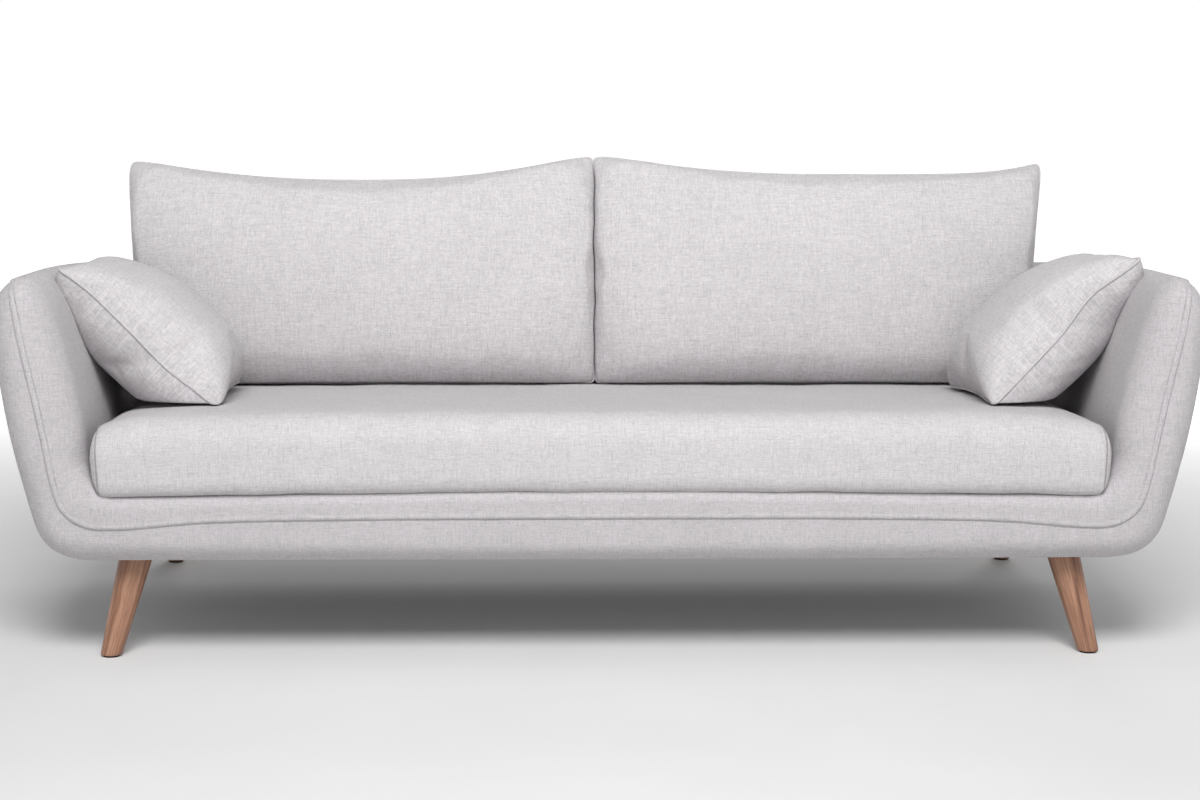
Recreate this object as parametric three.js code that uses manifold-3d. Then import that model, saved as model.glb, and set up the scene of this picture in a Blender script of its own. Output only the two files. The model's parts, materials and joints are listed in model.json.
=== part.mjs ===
// A three-seat sofa: a flared, padded shell on a timber frame, with a bench seat cushion, two back
// cushions, two throw pillows and four raked, tapered wooden legs.
// Millimetres, +X to the sitter's left, +Y to the back, +Z up. The origin is on the floor, under the
// centre of the sofa.
import * as THREE from "three";
import { RoundedBoxGeometry } from "three/addons/geometries/RoundedBoxGeometry.js";
import { mergeVertices } from "three/addons/utils/BufferGeometryUtils.js";
import Module from "manifold-3d";

const wasm = await Module();
wasm.setup();

// ---- Driving dimensions -------------------------------------------------------------------------
const halfWidth = 1016; // to the widest point of the arms
const halfDepth = 420;
const deckHalfWidth = 820; // to where the arms start to rise from the seat deck
const baseZ = 167; // underside of the shell, and the height of the legs
const rimTopZ = 286; // top of the front rim, where the seat cushion starts
const armTopZ = 641; // top of the arms at the front
const rimFrontY = -412;
const rimRearY = -352;
const rimRound = 45; // length of the rim's rounded front edges
const rimInset = 20; // and how far they draw in
const boardThick = 27; // thickness of the frame timber
const gap = 0.5; // clearance between neighbouring pieces
const pastSide = 1100; // limits of the cutting blocks, well outside the sofa
const pastEnd = 600;
const pastTop = 800;

const slope = 0.027; // the seat and the arms fall this much per millimetre towards the back
const backSlope = 0.105; // and the backrest leans this much per millimetre of height
const backFaceY = 288; // front of the back pad at the height of the rim
const backPadThick = 50;
const backCavity = 40; // room for the back frame behind the pad
const backPanelThick = 15;

const armLean = 0.156; // outward lean of the arm posts
const postOuterX = 941; // outer face of the arm posts at postZ
const postZ = 235;
const armRailTopZ = 586;
const capZ = armRailTopZ + 9; // underside of the padding over the arm's top rail

const legTopX = 793;
const legFootX = 835;
const legTopRadius = 28.5;
const legFootRadius = 17;
const frontLegY = { top: -322, foot: -362 };
const rearLegY = { top: 332, foot: 392 };
const glideThick = 3;

const fall = (y) => Math.max(0, y - rimRearY) * slope;
const deckZ = (y) => rimTopZ - (y - rimRearY) * slope;
const backTopZ = armTopZ - fall(halfDepth);
const backY = (z) => backFaceY + (z - rimTopZ) * backSlope;
const postX = (z) => postOuterX + (z - postZ) * armLean;

// ---- Materials ----------------------------------------------------------------------------------
const material = (color, roughness, metalness = 0) =>
  new THREE.MeshStandardMaterial({ color, roughness, metalness });
const shellFabric = material(0xd2cfd1, 0.95);
const cushionFabric = material(0xd6d4d5, 0.95);
const legWood = material(0xa97f66, 0.45);
const frameWood = material(0xcdb389, 0.7);
const steel = material(0x9a9da0, 0.4, 1);
const dustCloth = material(0x1d1d1f, 0.95);
const felt = material(0x3a3532, 1);

// ---- Helpers ------------------------------------------------------------------------------------
const sofa = new THREE.Group();

function add(name, geometry, finish, parent = sofa) {
  const mesh = new THREE.Mesh(geometry, finish);
  mesh.name = name;
  parent.add(mesh);
  return mesh;
}

// A closed geometry as a solid that can be cut and joined.
function solid(geometry) {
  const bare = geometry.index ? geometry.toNonIndexed() : geometry.clone();
  bare.deleteAttribute("normal");
  bare.deleteAttribute("uv");
  const merged = mergeVertices(bare, 1e-3);
  return new wasm.Manifold(
    new wasm.Mesh({
      numProp: 3,
      vertProperties: merged.attributes.position.array,
      triVerts: new Uint32Array(merged.index.array),
    }),
  );
}

function geometryOf(made) {
  const mesh = made.getMesh();
  const geometry = new THREE.BufferGeometry();
  geometry.setAttribute("position", new THREE.BufferAttribute(mesh.vertProperties, 3));
  geometry.setIndex(new THREE.BufferAttribute(mesh.triVerts, 1));
  geometry.computeVertexNormals();
  return geometry;
}

// A shape drawn in X and Z, extruded along Y from y0 to y1. Its two ends are rounded over the
// length round, and draw in by inset.
function prismY(shape, y0, y1, options = {}) {
  const { round = 0, inset = round, curveSegments = 6 } = options;
  const geometry = new THREE.ExtrudeGeometry(shape, {
    depth: y1 - y0 - 2 * round,
    curveSegments,
    bevelEnabled: round > 0,
    bevelThickness: round,
    bevelSize: inset,
    bevelOffset: -inset,
    bevelSegments: 4,
  });
  return geometry.rotateX(Math.PI / 2).translate(0, y1 - round, 0);
}

// A shape drawn in Y and Z, extruded along X from x0 to x1.
function prismX(shape, x0, x1) {
  const geometry = new THREE.ExtrudeGeometry(shape, {
    depth: x1 - x0,
    curveSegments: 6,
    bevelEnabled: false,
  });
  return geometry.rotateX(Math.PI / 2).rotateZ(Math.PI / 2).translate(x0, 0, 0);
}

function block(x0, x1, y0, y1, z0, z1) {
  const geometry = new THREE.BoxGeometry(x1 - x0, y1 - y0, z1 - z0);
  return geometry.translate((x0 + x1) / 2, (y0 + y1) / 2, (z0 + z1) / 2);
}

function polygon(points) {
  return new THREE.Shape(points.map(([a, b]) => new THREE.Vector2(a, b)));
}

// Lowers a piece towards the back, fully above fullZ and not at all below fixedZ.
function lowerToBack(geometry, fixedZ = rimTopZ, fullZ = capZ - 1) {
  const position = geometry.attributes.position;
  for (let i = 0; i < position.count; i += 1) {
    const z = position.getZ(i);
    const share = THREE.MathUtils.clamp((z - fixedZ) / (fullZ - fixedZ), 0, 1);
    position.setZ(i, z - fall(position.getY(i)) * share);
  }
  geometry.computeVertexNormals();
  return geometry;
}

// ---- Outlines of the shell, seen from the front. side is 1 or -1 ---------------------------------
// The outer outline runs from the top of an arm down its flared side and round the bottom corner.
function outerOutline(shape, side) {
  shape.lineTo(side * 945, armTopZ);
  shape.bezierCurveTo(side * 985, armTopZ, side * halfWidth, 615, side * halfWidth, 575);
  shape.bezierCurveTo(side * halfWidth, 470, side * 992, 350, side * 959, postZ);
  shape.bezierCurveTo(side * 946, 189, side * 915, baseZ, side * 860, baseZ);
}

// The inner outline runs from the seat deck up the inside of an arm to its top.
function innerOutline(shape, side, shift = 0) {
  const x = (value) => side * (value - shift);
  shape.lineTo(x(deckHalfWidth), rimTopZ + shift);
  shape.quadraticCurveTo(x(853), rimTopZ + 4 + shift, x(862), 342);
  shape.lineTo(x(867), 390);
  shape.lineTo(x(904), 602);
  shape.quadraticCurveTo(x(908), armTopZ + shift, x(932), armTopZ + shift);
}

// A right-hand outline and its mirror image, as one closed shape.
function mirrored(outline, divisions) {
  const right = outline.getPoints(divisions);
  const left = right.slice().reverse().map((point) => new THREE.Vector2(-point.x, point.y));
  return new THREE.Shape([...right, ...left]);
}

// The whole wall of the shell: a U that is open at the top.
function wallShape() {
  const half = new THREE.Shape().moveTo(deckHalfWidth, rimTopZ);
  innerOutline(half, 1);
  outerOutline(half, 1);
  return mirrored(half, 7);
}

// ---- Base frame: rails, corner blocks and springs ------------------------------------------------
const railBottomZ = 178;
const frontRailTopZ = 262;
const rearRailTopZ = 238;
const sideRail = { inner: 850, outer: 908, bottomZ: 190 };
const frontRail = { front: rimRearY + gap, rear: rimRearY + gap + boardThick };
const rearRail = { front: 336.5, rear: 336.5 + boardThick };

function board(name, width, depth, height, x, y, z) {
  const mesh = add(name, new THREE.BoxGeometry(width, depth, height), frameWood);
  mesh.position.set(x, y, z);
  return mesh;
}

const railSpan = 2 * (sideRail.inner - gap);
board("front_rail", railSpan, boardThick, frontRailTopZ - railBottomZ, 0,
  (frontRail.front + frontRail.rear) / 2, (frontRailTopZ + railBottomZ) / 2);
board("rear_rail", railSpan, boardThick, rearRailTopZ - railBottomZ, 0,
  (rearRail.front + rearRail.rear) / 2, (rearRailTopZ + railBottomZ) / 2);

const bearerHeight = 50;
for (const [side, label] of [[1, "right"], [-1, "left"]]) {
  board(`side_rail_${label}`, sideRail.outer - sideRail.inner, rearRail.rear - frontRail.front,
    rearRailTopZ - sideRail.bottomZ, side * (sideRail.outer + sideRail.inner) / 2,
    (rearRail.rear + frontRail.front) / 2, (rearRailTopZ + sideRail.bottomZ) / 2);
  board(`cross_bearer_${label}`, boardThick, rearRail.front - frontRail.rear - 2 * gap, bearerHeight,
    side * 285, (rearRail.front + frontRail.rear) / 2, railBottomZ + bearerHeight / 2);
}

const cornerBlock = { inner: 767, depth: 74 };
for (const [side, sideLabel] of [[1, "right"], [-1, "left"]]) {
  for (const end of ["front", "rear"]) {
    const near = end === "front" ? frontRail.rear + gap : rearRail.front - gap - cornerBlock.depth;
    const width = sideRail.inner - gap - cornerBlock.inner;
    board(`corner_block_${end}_${sideLabel}`, width, cornerBlock.depth, 64,
      side * (cornerBlock.inner + width / 2), near + cornerBlock.depth / 2, railBottomZ + 32);
  }
}

// A zigzag seat spring that runs from the front rail to the rear rail.
const springCount = 10;
const springPitch = 156;
const springWire = 2;
const springHalfWidth = 24;
const springBends = 12;
const springBelowDeck = 19;
function springGeometry() {
  const start = frontRail.front + 6;
  const end = rearRail.rear - 6;
  const points = [];
  for (let i = 0; i <= springBends * 2; i += 1) {
    const y = start + ((end - start) * i) / (springBends * 2);
    const x = springHalfWidth * Math.sin((i * Math.PI) / 2);
    points.push(new THREE.Vector3(x, y, deckZ(y) - springBelowDeck));
  }
  const wire = new THREE.Shape().absarc(0, 0, springWire, 0, 2 * Math.PI);
  return new THREE.ExtrudeGeometry(wire, {
    steps: springBends * 4,
    curveSegments: 2,
    extrudePath: new THREE.CatmullRomCurve3(points),
  });
}
for (let i = 0; i < springCount; i += 1) {
  const spring = add(`seat_spring_${i + 1}`, springGeometry(), steel);
  spring.position.x = (i - (springCount - 1) / 2) * springPitch;
}

// ---- Arm and back frames -------------------------------------------------------------------------
const postBottomZ = 215;
const postTopZ = 556;
const postWidth = 60;
const leanAngle = Math.atan(armLean);

// A board that leans outwards with the arm, between two heights of its outer face.
function leaningBoard(side, z0, z1, y0, y1) {
  const thick = boardThick / Math.cos(leanAngle);
  const shape = polygon([
    [side * (postX(z0) - thick), z0],
    [side * postX(z0), z0],
    [side * postX(z1), z1],
    [side * (postX(z1) - thick), z1],
  ]);
  return prismY(shape, y0, y1);
}

const armRailRearY = backY(postTopZ) + backPadThick + 2;
for (const [side, label] of [[1, "right"], [-1, "left"]]) {
  add(`arm_front_post_${label}`,
    leaningBoard(side, postBottomZ, postTopZ, frontRail.front, frontRail.front + postWidth), frameWood);
  const rearPostY = backY(postBottomZ) - 40;
  add(`arm_rear_post_${label}`,
    leaningBoard(side, postBottomZ, postTopZ - fall(halfDepth), rearPostY, rearPostY + postWidth), frameWood);
  add(`arm_top_rail_${label}`,
    lowerToBack(leaningBoard(side, postTopZ + 2.5, armRailTopZ, frontRail.front, armRailRearY - 14)),
    frameWood);
}

// Boards of the back frame lean with the backrest, in the cavity behind the back pad.
const backBoardY = backPadThick + (backCavity - boardThick) / 2;
function backBoard(name, x0, x1, z0, z1) {
  const y = (z) => backY(z) + backBoardY;
  const shape = polygon([
    [y(z0), z0],
    [y(z0) + boardThick, z0],
    [y(z1) + boardThick, z1],
    [y(z1), z1],
  ]);
  return add(name, prismX(shape, x0, x1), frameWood);
}
const backFrame = { bottom: 254, tack: 300, rail: 520, top: 578 };
backBoard("back_lower_rail", -816, 816, backFrame.bottom, backFrame.tack);
backBoard("back_top_rail", -878, 878, backFrame.rail, backFrame.top);
for (const [side, label] of [[1, "right"], [-1, "left"]]) {
  const inner = side * 300 - postWidth / 2;
  backBoard(`back_upright_${label}`, inner, inner + postWidth, backFrame.tack + gap, backFrame.rail - gap);
}

// ---- Upholstered shell ---------------------------------------------------------------------------
// Everything in front of a plane parallel to the backrest, offset back from it.
function inFrontOf(offset) {
  const shape = polygon([
    [-pastEnd, 0],
    [backY(0) + offset, 0],
    [backY(pastTop) + offset, pastTop],
    [-pastEnd, pastTop],
  ]);
  return solid(prismX(shape, -pastSide, pastSide));
}

// The front rim is one padded roll. It is cut at the corners into two arm fronts and the rail front.
const rim = solid(prismY(wallShape(), rimFrontY, rimRearY + rimRound, { round: rimRound, inset: rimInset }))
  .subtract(solid(block(-pastSide, pastSide, rimRearY, pastEnd, 0, pastTop)));
const rimSplitX = 812;
const rimSide = (side) => solid(block(Math.min(side * pastSide, side * rimSplitX),
  Math.max(side * pastSide, side * rimSplitX), -pastEnd, 0, 0, pastTop));
add("front_border_right", geometryOf(rim.intersect(rimSide(1))), shellFabric);
add("front_border_left", geometryOf(rim.intersect(rimSide(-1))), shellFabric);
add("front_border_rail", geometryOf(rim.intersect(
  solid(block(gap - rimSplitX, rimSplitX - gap, -pastEnd, 0, 0, pastTop)))), shellFabric);

// The arm pad covers the inside of an arm and wraps over its top rail.
const padBottomZ = frontRailTopZ + 2;
const postThick = boardThick / Math.cos(leanAngle);
function armPadShape(side) {
  const shape = new THREE.Shape();
  const padX = (z) => side * (postX(z) - postThick - 4);
  shape.moveTo(side * deckHalfWidth, padBottomZ);
  innerOutline(shape, side);
  shape.lineTo(side * 945, armTopZ);
  shape.bezierCurveTo(side * 985, armTopZ, side * 1014, 620, side * 1015, capZ);
  shape.lineTo(padX(capZ), capZ);
  shape.lineTo(padX(padBottomZ), padBottomZ);
  return shape;
}

// The outside arm panel runs from under the arm's top, round the corner, to below the side rail.
function outsideArmShape(side) {
  const shape = new THREE.Shape();
  const edgeZ = 212;
  const faceX = (z) => side * (postX(z) + 1);
  shape.moveTo(faceX(capZ - 1), capZ - 1);
  shape.lineTo(side * 1015, capZ - 1);
  shape.lineTo(side * halfWidth, 575);
  shape.bezierCurveTo(side * halfWidth, 470, side * 992, 350, side * 959, postZ);
  shape.bezierCurveTo(side * 946, 189, side * 915, baseZ, side * 860, baseZ);
  shape.lineTo(side * 860, sideRail.bottomZ - gap);
  shape.lineTo(side * (sideRail.outer + 1), sideRail.bottomZ - gap);
  shape.lineTo(side * (sideRail.outer + 1), edgeZ);
  shape.lineTo(faceX(edgeZ), edgeZ);
  return shape;
}

const rearLimit = inFrontOf(backPadThick + backCavity);
for (const [side, label] of [[1, "right"], [-1, "left"]]) {
  const pad = lowerToBack(
    prismY(armPadShape(side), rimRearY + gap, pastEnd, { curveSegments: 5 }), 0, 1);
  add(`arm_pad_${label}`, geometryOf(solid(pad).intersect(rearLimit)), shellFabric);
  const outside = lowerToBack(
    prismY(outsideArmShape(side), rimRearY + gap, pastEnd, { curveSegments: 8 }));
  add(`outside_arm_${label}`, geometryOf(solid(outside).intersect(rearLimit)), shellFabric);
}

// The back pad fills the width between the arms and wraps over the top of the back frame.
function betweenArms(shrink) {
  const half = new THREE.Shape().moveTo(deckHalfWidth - shrink, rimTopZ - 80);
  innerOutline(half, 1, shrink);
  return mirrored(half, 5);
}
const padTop = backTopZ - 26;
const backWrap = backPadThick + backCavity - gap;
const backPadShape = new THREE.Shape();
backPadShape.moveTo(backY(backFrame.bottom), backFrame.bottom);
backPadShape.lineTo(backY(backFrame.bottom) + backPadThick, backFrame.bottom);
backPadShape.lineTo(backY(582) + backPadThick, 582);
backPadShape.lineTo(backY(582) + backWrap, 582);
backPadShape.lineTo(backY(padTop) + backWrap, padTop);
backPadShape.quadraticCurveTo(backY(backTopZ) + backWrap, backTopZ, backY(backTopZ) + 60, backTopZ);
backPadShape.lineTo(backY(backTopZ) + 30, backTopZ);
backPadShape.quadraticCurveTo(backY(backTopZ), backTopZ, backY(padTop), padTop);
add("back_pad", geometryOf(
  solid(prismX(backPadShape, -pastSide, pastSide))
    .intersect(solid(lowerToBack(prismY(betweenArms(3), 0, pastEnd), 0, 1)))), shellFabric);

// The outside back closes the shell from arm to arm, flush with the outside arms.
const panelShape = polygon([
  [backY(baseZ) + backPadThick + backCavity + gap, baseZ],
  [backY(baseZ) + backPadThick + backCavity + backPanelThick, baseZ],
  [halfDepth, backTopZ - 12],
  [halfDepth - 5, backTopZ],
  [backY(backTopZ) + backPadThick + backCavity + gap, backTopZ],
]);
const silhouette = new THREE.Shape().moveTo(945, armTopZ);
outerOutline(silhouette, 1);
add("outside_back", geometryOf(
  solid(prismX(panelShape, -pastSide, pastSide))
    .intersect(solid(lowerToBack(prismY(mirrored(silhouette, 8), 0, pastEnd))))), shellFabric);

// The deck pad lies on the springs, and the dust cloth closes the underside round the legs.
const deckThick = 15;
const deckFrontY = rimRearY + gap;
const deckRearY = backY(deckZ(backFaceY)) - 2;
const deckLength = deckRearY - deckFrontY;
const deck = add("seat_deck", new THREE.BoxGeometry(2 * (deckHalfWidth - gap), deckLength, deckThick), shellFabric);
deck.rotation.x = -Math.atan(slope);
deck.position.set(0, deckFrontY + deckLength / 2, deckZ(deckFrontY + deckLength / 2) - deckThick / 2 - 0.8);

const clothNotch = { x: 745, front: -270, rear: 280 };
const clothEdge = { x: 856, front: rimRearY + 2, rear: 366 };
const cloth = polygon([
  [-clothNotch.x, clothEdge.front], [clothNotch.x, clothEdge.front], [clothNotch.x, clothNotch.front],
  [clothEdge.x, clothNotch.front], [clothEdge.x, clothNotch.rear], [clothNotch.x, clothNotch.rear],
  [clothNotch.x, clothEdge.rear], [-clothNotch.x, clothEdge.rear], [-clothNotch.x, clothNotch.rear],
  [-clothEdge.x, clothNotch.rear], [-clothEdge.x, clothNotch.front], [-clothNotch.x, clothNotch.front],
]);
const dustCover = add("dust_cover",
  new THREE.ExtrudeGeometry(cloth, { depth: 1.5, bevelEnabled: false }), dustCloth);
dustCover.position.z = railBottomZ - gap - 1.5;

// ---- Welts: covered cords along the seams --------------------------------------------------------
const weltRadius = 3;
function weltGeometry(points, steps) {
  const cord = new THREE.Shape().absarc(0, 0, weltRadius, 0, 2 * Math.PI);
  return new THREE.ExtrudeGeometry(cord, {
    steps,
    curveSegments: 3,
    extrudePath: new THREE.CatmullRomCurve3(points, false, "centripetal"),
  });
}
const seam = { rail: 243, corner: 226, topX: 957, topZ: 594 };
const frontWeltY = rimFrontY - weltRadius - 0.4;
const halfSeam = [
  [seam.topX, seam.topZ], [949, 530], [934, 445], [918, 350], [904, 292], [884, 250],
  [850, 229], [800, seam.corner], [660, 235], [400, seam.rail - 1],
];
const seamPoints = [
  ...halfSeam.map(([x, z]) => new THREE.Vector3(-x, frontWeltY, z)),
  new THREE.Vector3(0, frontWeltY, seam.rail),
  ...halfSeam.slice().reverse().map(([x, z]) => new THREE.Vector3(x, frontWeltY, z)),
];
add("front_welt", weltGeometry(seamPoints, 64), shellFabric);

const topWelt = { x: 966, frontY: rimRearY + 4, rearY: 408 };
const topWeltPoints = [
  [-topWelt.x, topWelt.frontY], [-topWelt.x, 0], [-topWelt.x, topWelt.rearY - 25],
  [-topWelt.x + 8, topWelt.rearY - 7], [-topWelt.x + 26, topWelt.rearY], [-400, topWelt.rearY],
  [400, topWelt.rearY], [topWelt.x - 26, topWelt.rearY], [topWelt.x - 8, topWelt.rearY - 7],
  [topWelt.x, topWelt.rearY - 25], [topWelt.x, 0], [topWelt.x, topWelt.frontY],
].map(([x, y]) => {
  return new THREE.Vector3(x, y, armTopZ - fall(y) + weltRadius + 0.6);
});
add("top_welt", weltGeometry(topWeltPoints, 60), shellFabric);

// ---- Legs: tapered, raked outwards, with a top plate and a felt glide ------------------------------
const plateThick = 3.2;
const plateSize = 56;
const legTopZ = railBottomZ - gap - plateThick - gap;
const studRadius = 4;
const studLength = 36;
const studHole = 4.6;

for (const [side, sideLabel] of [[1, "right"], [-1, "left"]]) {
  for (const [end, y] of [["front", frontLegY], ["rear", rearLegY]]) {
    const label = `${end}_${sideLabel}`;
    const top = new THREE.Vector3(side * legTopX, y.top, legTopZ);
    const foot = new THREE.Vector3(side * legFootX, y.foot, 0);
    const axis = top.clone().sub(foot).normalize();
    const turn = new THREE.Quaternion().setFromUnitVectors(new THREE.Vector3(0, 1, 0), axis);
    const length = top.distanceTo(foot);

    // The leg is turned longer than it needs to be, then cut level at the top and at the floor.
    const over = 40;
    const taper = (legTopRadius - legFootRadius) / length;
    const leg = new THREE.CylinderGeometry(legTopRadius + taper * over, legFootRadius - taper * over,
      length + 2 * over, 28);
    leg.applyQuaternion(turn).translate(...top.clone().add(foot).multiplyScalar(0.5).toArray());
    const hole = new THREE.CylinderGeometry(studHole, studHole, 2 * studLength + 8, 12);
    hole.applyQuaternion(turn).translate(...top.toArray());
    add(`leg_${label}`, geometryOf(
      solid(leg).intersect(solid(block(-pastSide, pastSide, -pastEnd, pastEnd, glideThick + gap, legTopZ)))
        .subtract(solid(hole))), legWood);

    const glide = add(`glide_${label}`, new THREE.CylinderGeometry(14, 14, glideThick, 20), felt);
    glide.rotation.x = Math.PI / 2;
    glide.position.set(foot.x, foot.y, glideThick / 2);

    const plate = solid(block(top.x - plateSize / 2, top.x + plateSize / 2, top.y - plateSize / 2,
      top.y + plateSize / 2, legTopZ + gap, legTopZ + gap + plateThick));
    const stud = new THREE.CylinderGeometry(studRadius, studRadius, 2 * studLength, 10);
    stud.applyQuaternion(turn).translate(...top.toArray());
    const below = solid(block(top.x - 60, top.x + 60, top.y - 60, top.y + 60, 0, legTopZ + gap + 1));
    add(`leg_plate_${label}`, geometryOf(plate.add(solid(stud).intersect(below))), steel);
  }
}

// ---- Cushions ------------------------------------------------------------------------------------
// A knife-edged cushion in X and Y, thickest at the middle of Z, whose sides pull in between its
// corners. flare moves the edge at +X outwards towards +Y.
function knifeCushion(width, height, thick, options = {}) {
  const { pull = 10, edge = 6, flare = 0, cells = 10 } = options;
  const geometry = new THREE.BoxGeometry(2, 2, 2, cells, cells, 1);
  const position = geometry.attributes.position;
  for (let i = 0; i < position.count; i += 1) {
    const u = Math.sin((position.getX(i) * Math.PI) / 2);
    const v = Math.sin((position.getY(i) * Math.PI) / 2);
    const swell = Math.sqrt(Math.max(0, (1 - u * u) * (1 - v * v)));
    const x = u * (width / 2 - pull * (1 - v * v)) + (flare * v * (u + 1)) / 2;
    const y = v * (height / 2 - pull * (1 - u * u));
    const z = Math.sign(position.getZ(i)) * (edge / 2 + (thick / 2 - edge / 2) * swell);
    position.setXYZ(i, x, y, z);
  }
  geometry.computeVertexNormals();
  return geometry;
}

// The seat cushion is a foam bench, flat underneath and crowned on top, on the sloping deck.
const seat = { halfWidth: 851, front: 0.6 - halfDepth, rear: 284, thick: 130, crown: 8, lift: 4, round: 38 };
const seatLength = seat.rear - seat.front;
const seatBlock = new RoundedBoxGeometry(2 * seat.halfWidth, seatLength, seat.thick, 4, seat.round);
const seatPoints = seatBlock.attributes.position;
for (let i = 0; i < seatPoints.count; i += 1) {
  const u = seatPoints.getX(i) / seat.halfWidth;
  const v = (2 * seatPoints.getY(i)) / seatLength;
  const z = seatPoints.getZ(i);
  const onTop = Math.max(0, (2 * z) / seat.thick);
  seatPoints.setZ(i, z + onTop * (seat.crown * (1 - u ** 4) * (1 - v ** 4) - seat.lift * v));
}
const seatCushion = add("seat_cushion", seatBlock, cushionFabric);
seatCushion.rotation.x = -Math.atan(slope);
const seatMidY = (seat.front + seat.rear) / 2;
seatCushion.position.set(0, seatMidY, deckZ(seatMidY) + 1.2 + seat.thick / 2);

const back = { innerX: 3, outerX: 867, flare: 22, bottomZ: 403, topZ: 813, bottomY: 180, lean: 14.5, thick: 160 };
const backWidth = back.outerX - back.innerX;
const backLean = THREE.MathUtils.degToRad(back.lean);
const backHeight = (back.topZ - back.bottomZ) / Math.cos(backLean);
const backMidY = back.bottomY + (backHeight / 2) * Math.sin(backLean);
for (const [side, label] of [[1, "right"], [-1, "left"]]) {
  const geometry = knifeCushion(backWidth, backHeight, back.thick, { pull: 18, flare: back.flare / 2, cells: 12 });
  const cushion = add(`back_cushion_${label}`, geometry, cushionFabric);
  // Standing up: its height is up, and its face looks to the front.
  cushion.rotation.x = Math.PI / 2 - backLean;
  cushion.position.set(side * (back.innerX + backWidth / 2), backMidY, (back.bottomZ + back.topZ) / 2);
  cushion.scale.x = side;
}

// Each pillow leans on an arm. It is hollowed where it presses on the arm.
const pillow = { size: 354, thick: 132, x: 796, y: -66, z: 541, tilt: 42.5, clear: 2 };
for (const [side, label] of [[1, "right"], [-1, "left"]]) {
  const geometry = knifeCushion(pillow.size, pillow.size, pillow.thick, { pull: 14, cells: 12 });
  geometry.rotateY(-side * THREE.MathUtils.degToRad(pillow.tilt));
  geometry.translate(side * pillow.x, pillow.y, pillow.z);
  const arm = lowerToBack(prismY(armPadShape(side), rimRearY, halfDepth), 0, 1);
  const pressed = solid(geometry)
    .subtract(solid(arm.clone().translate(0, 0, pillow.clear)))
    .subtract(solid(arm.translate(-side * pillow.clear, 0, 0)));
  add(`pillow_${label}`, geometryOf(pressed), cushionFabric);
}

export default sofa;
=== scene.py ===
"""A three-seat sofa: a flared, padded shell covered in pale woven fabric, a bench seat cushion, two
back cushions, two throw pillows and raked wooden legs. Metres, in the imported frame's axes: +X to the
right as seen from the front, +Y to the back, +Z up."""
import json
import math

import bpy
import numpy as np
from mathutils import Matrix, Vector

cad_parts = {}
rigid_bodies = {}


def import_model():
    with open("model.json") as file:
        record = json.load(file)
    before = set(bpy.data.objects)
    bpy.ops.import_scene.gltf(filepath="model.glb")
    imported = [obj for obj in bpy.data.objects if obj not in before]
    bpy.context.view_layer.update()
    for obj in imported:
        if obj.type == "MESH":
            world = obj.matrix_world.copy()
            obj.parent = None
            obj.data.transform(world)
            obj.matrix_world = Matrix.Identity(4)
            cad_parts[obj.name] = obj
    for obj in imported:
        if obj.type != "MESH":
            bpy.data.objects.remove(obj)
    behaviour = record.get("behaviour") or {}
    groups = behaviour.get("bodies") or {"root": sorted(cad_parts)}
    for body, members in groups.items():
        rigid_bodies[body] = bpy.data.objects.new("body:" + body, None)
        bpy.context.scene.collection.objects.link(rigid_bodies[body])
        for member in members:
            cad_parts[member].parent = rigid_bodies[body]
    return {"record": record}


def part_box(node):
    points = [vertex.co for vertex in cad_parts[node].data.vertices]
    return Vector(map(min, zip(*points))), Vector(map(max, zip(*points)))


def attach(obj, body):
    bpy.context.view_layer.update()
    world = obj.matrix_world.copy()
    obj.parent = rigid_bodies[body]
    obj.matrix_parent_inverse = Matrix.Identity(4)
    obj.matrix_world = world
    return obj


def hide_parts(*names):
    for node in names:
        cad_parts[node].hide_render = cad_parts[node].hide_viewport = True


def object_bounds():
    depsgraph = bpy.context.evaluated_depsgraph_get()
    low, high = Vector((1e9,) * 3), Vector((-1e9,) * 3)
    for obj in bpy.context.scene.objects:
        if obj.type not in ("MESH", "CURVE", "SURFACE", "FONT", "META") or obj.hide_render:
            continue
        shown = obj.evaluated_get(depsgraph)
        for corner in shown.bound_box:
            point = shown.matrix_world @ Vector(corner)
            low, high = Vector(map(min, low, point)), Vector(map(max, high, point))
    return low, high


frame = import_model()
cad_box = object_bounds()

# ---- Sizes read from the frame --------------------------------------------------------------------
rim_low, rim_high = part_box("front_border_rail")
arm_low, arm_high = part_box("front_border_right")
panel_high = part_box("outside_back")[1]
seat_low, seat_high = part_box("seat_cushion")
back_low, back_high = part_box("back_cushion_right")
pillow_low, pillow_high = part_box("pillow_right")

HALF_WIDTH = arm_high[0]
BASE_Z = arm_low[2]
RIM_FRONT = rim_low[1]
RIM_REAR = rim_high[1]
RIM_TOP = rim_high[2]
ARM_TOP = arm_high[2] + 0.0025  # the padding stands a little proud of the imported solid
REAR_TOP_Y = panel_high[1]
REAR_INSET = 0.003  # how far the covers stay in front of the rear panel's face
REAR_LEAN = 0.105  # how far the back leans per metre of height
FALL = 0.027  # how far the arms and the deck fall per metre towards the back
SAG = 0.021  # how far the padding has sagged at the rear of the arms' tops
SAG_START_Y = -0.16
SAG_LENGTH = 0.54
CREST_HEIGHT = 0.047  # from where the arms' tops start to round over, up to their highest line
SKIN = 0.003  # thickness of the shell's covers


def fall(y):
    """How far the arms and the deck lie below their height at the front rim."""
    return np.maximum(0.0, y - RIM_REAR) * FALL


def sag(y):
    """How far the padded tops of the arms and back drop towards the rear, on top of the fall."""
    return SAG * np.clip((y - SAG_START_Y) / SAG_LENGTH, 0, 1) ** 1.5


def rear_y(z):
    """The Y of the leaning rear at a height."""
    return REAR_TOP_Y - REAR_INSET - (panel_high[2] - z) * REAR_LEAN


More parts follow.
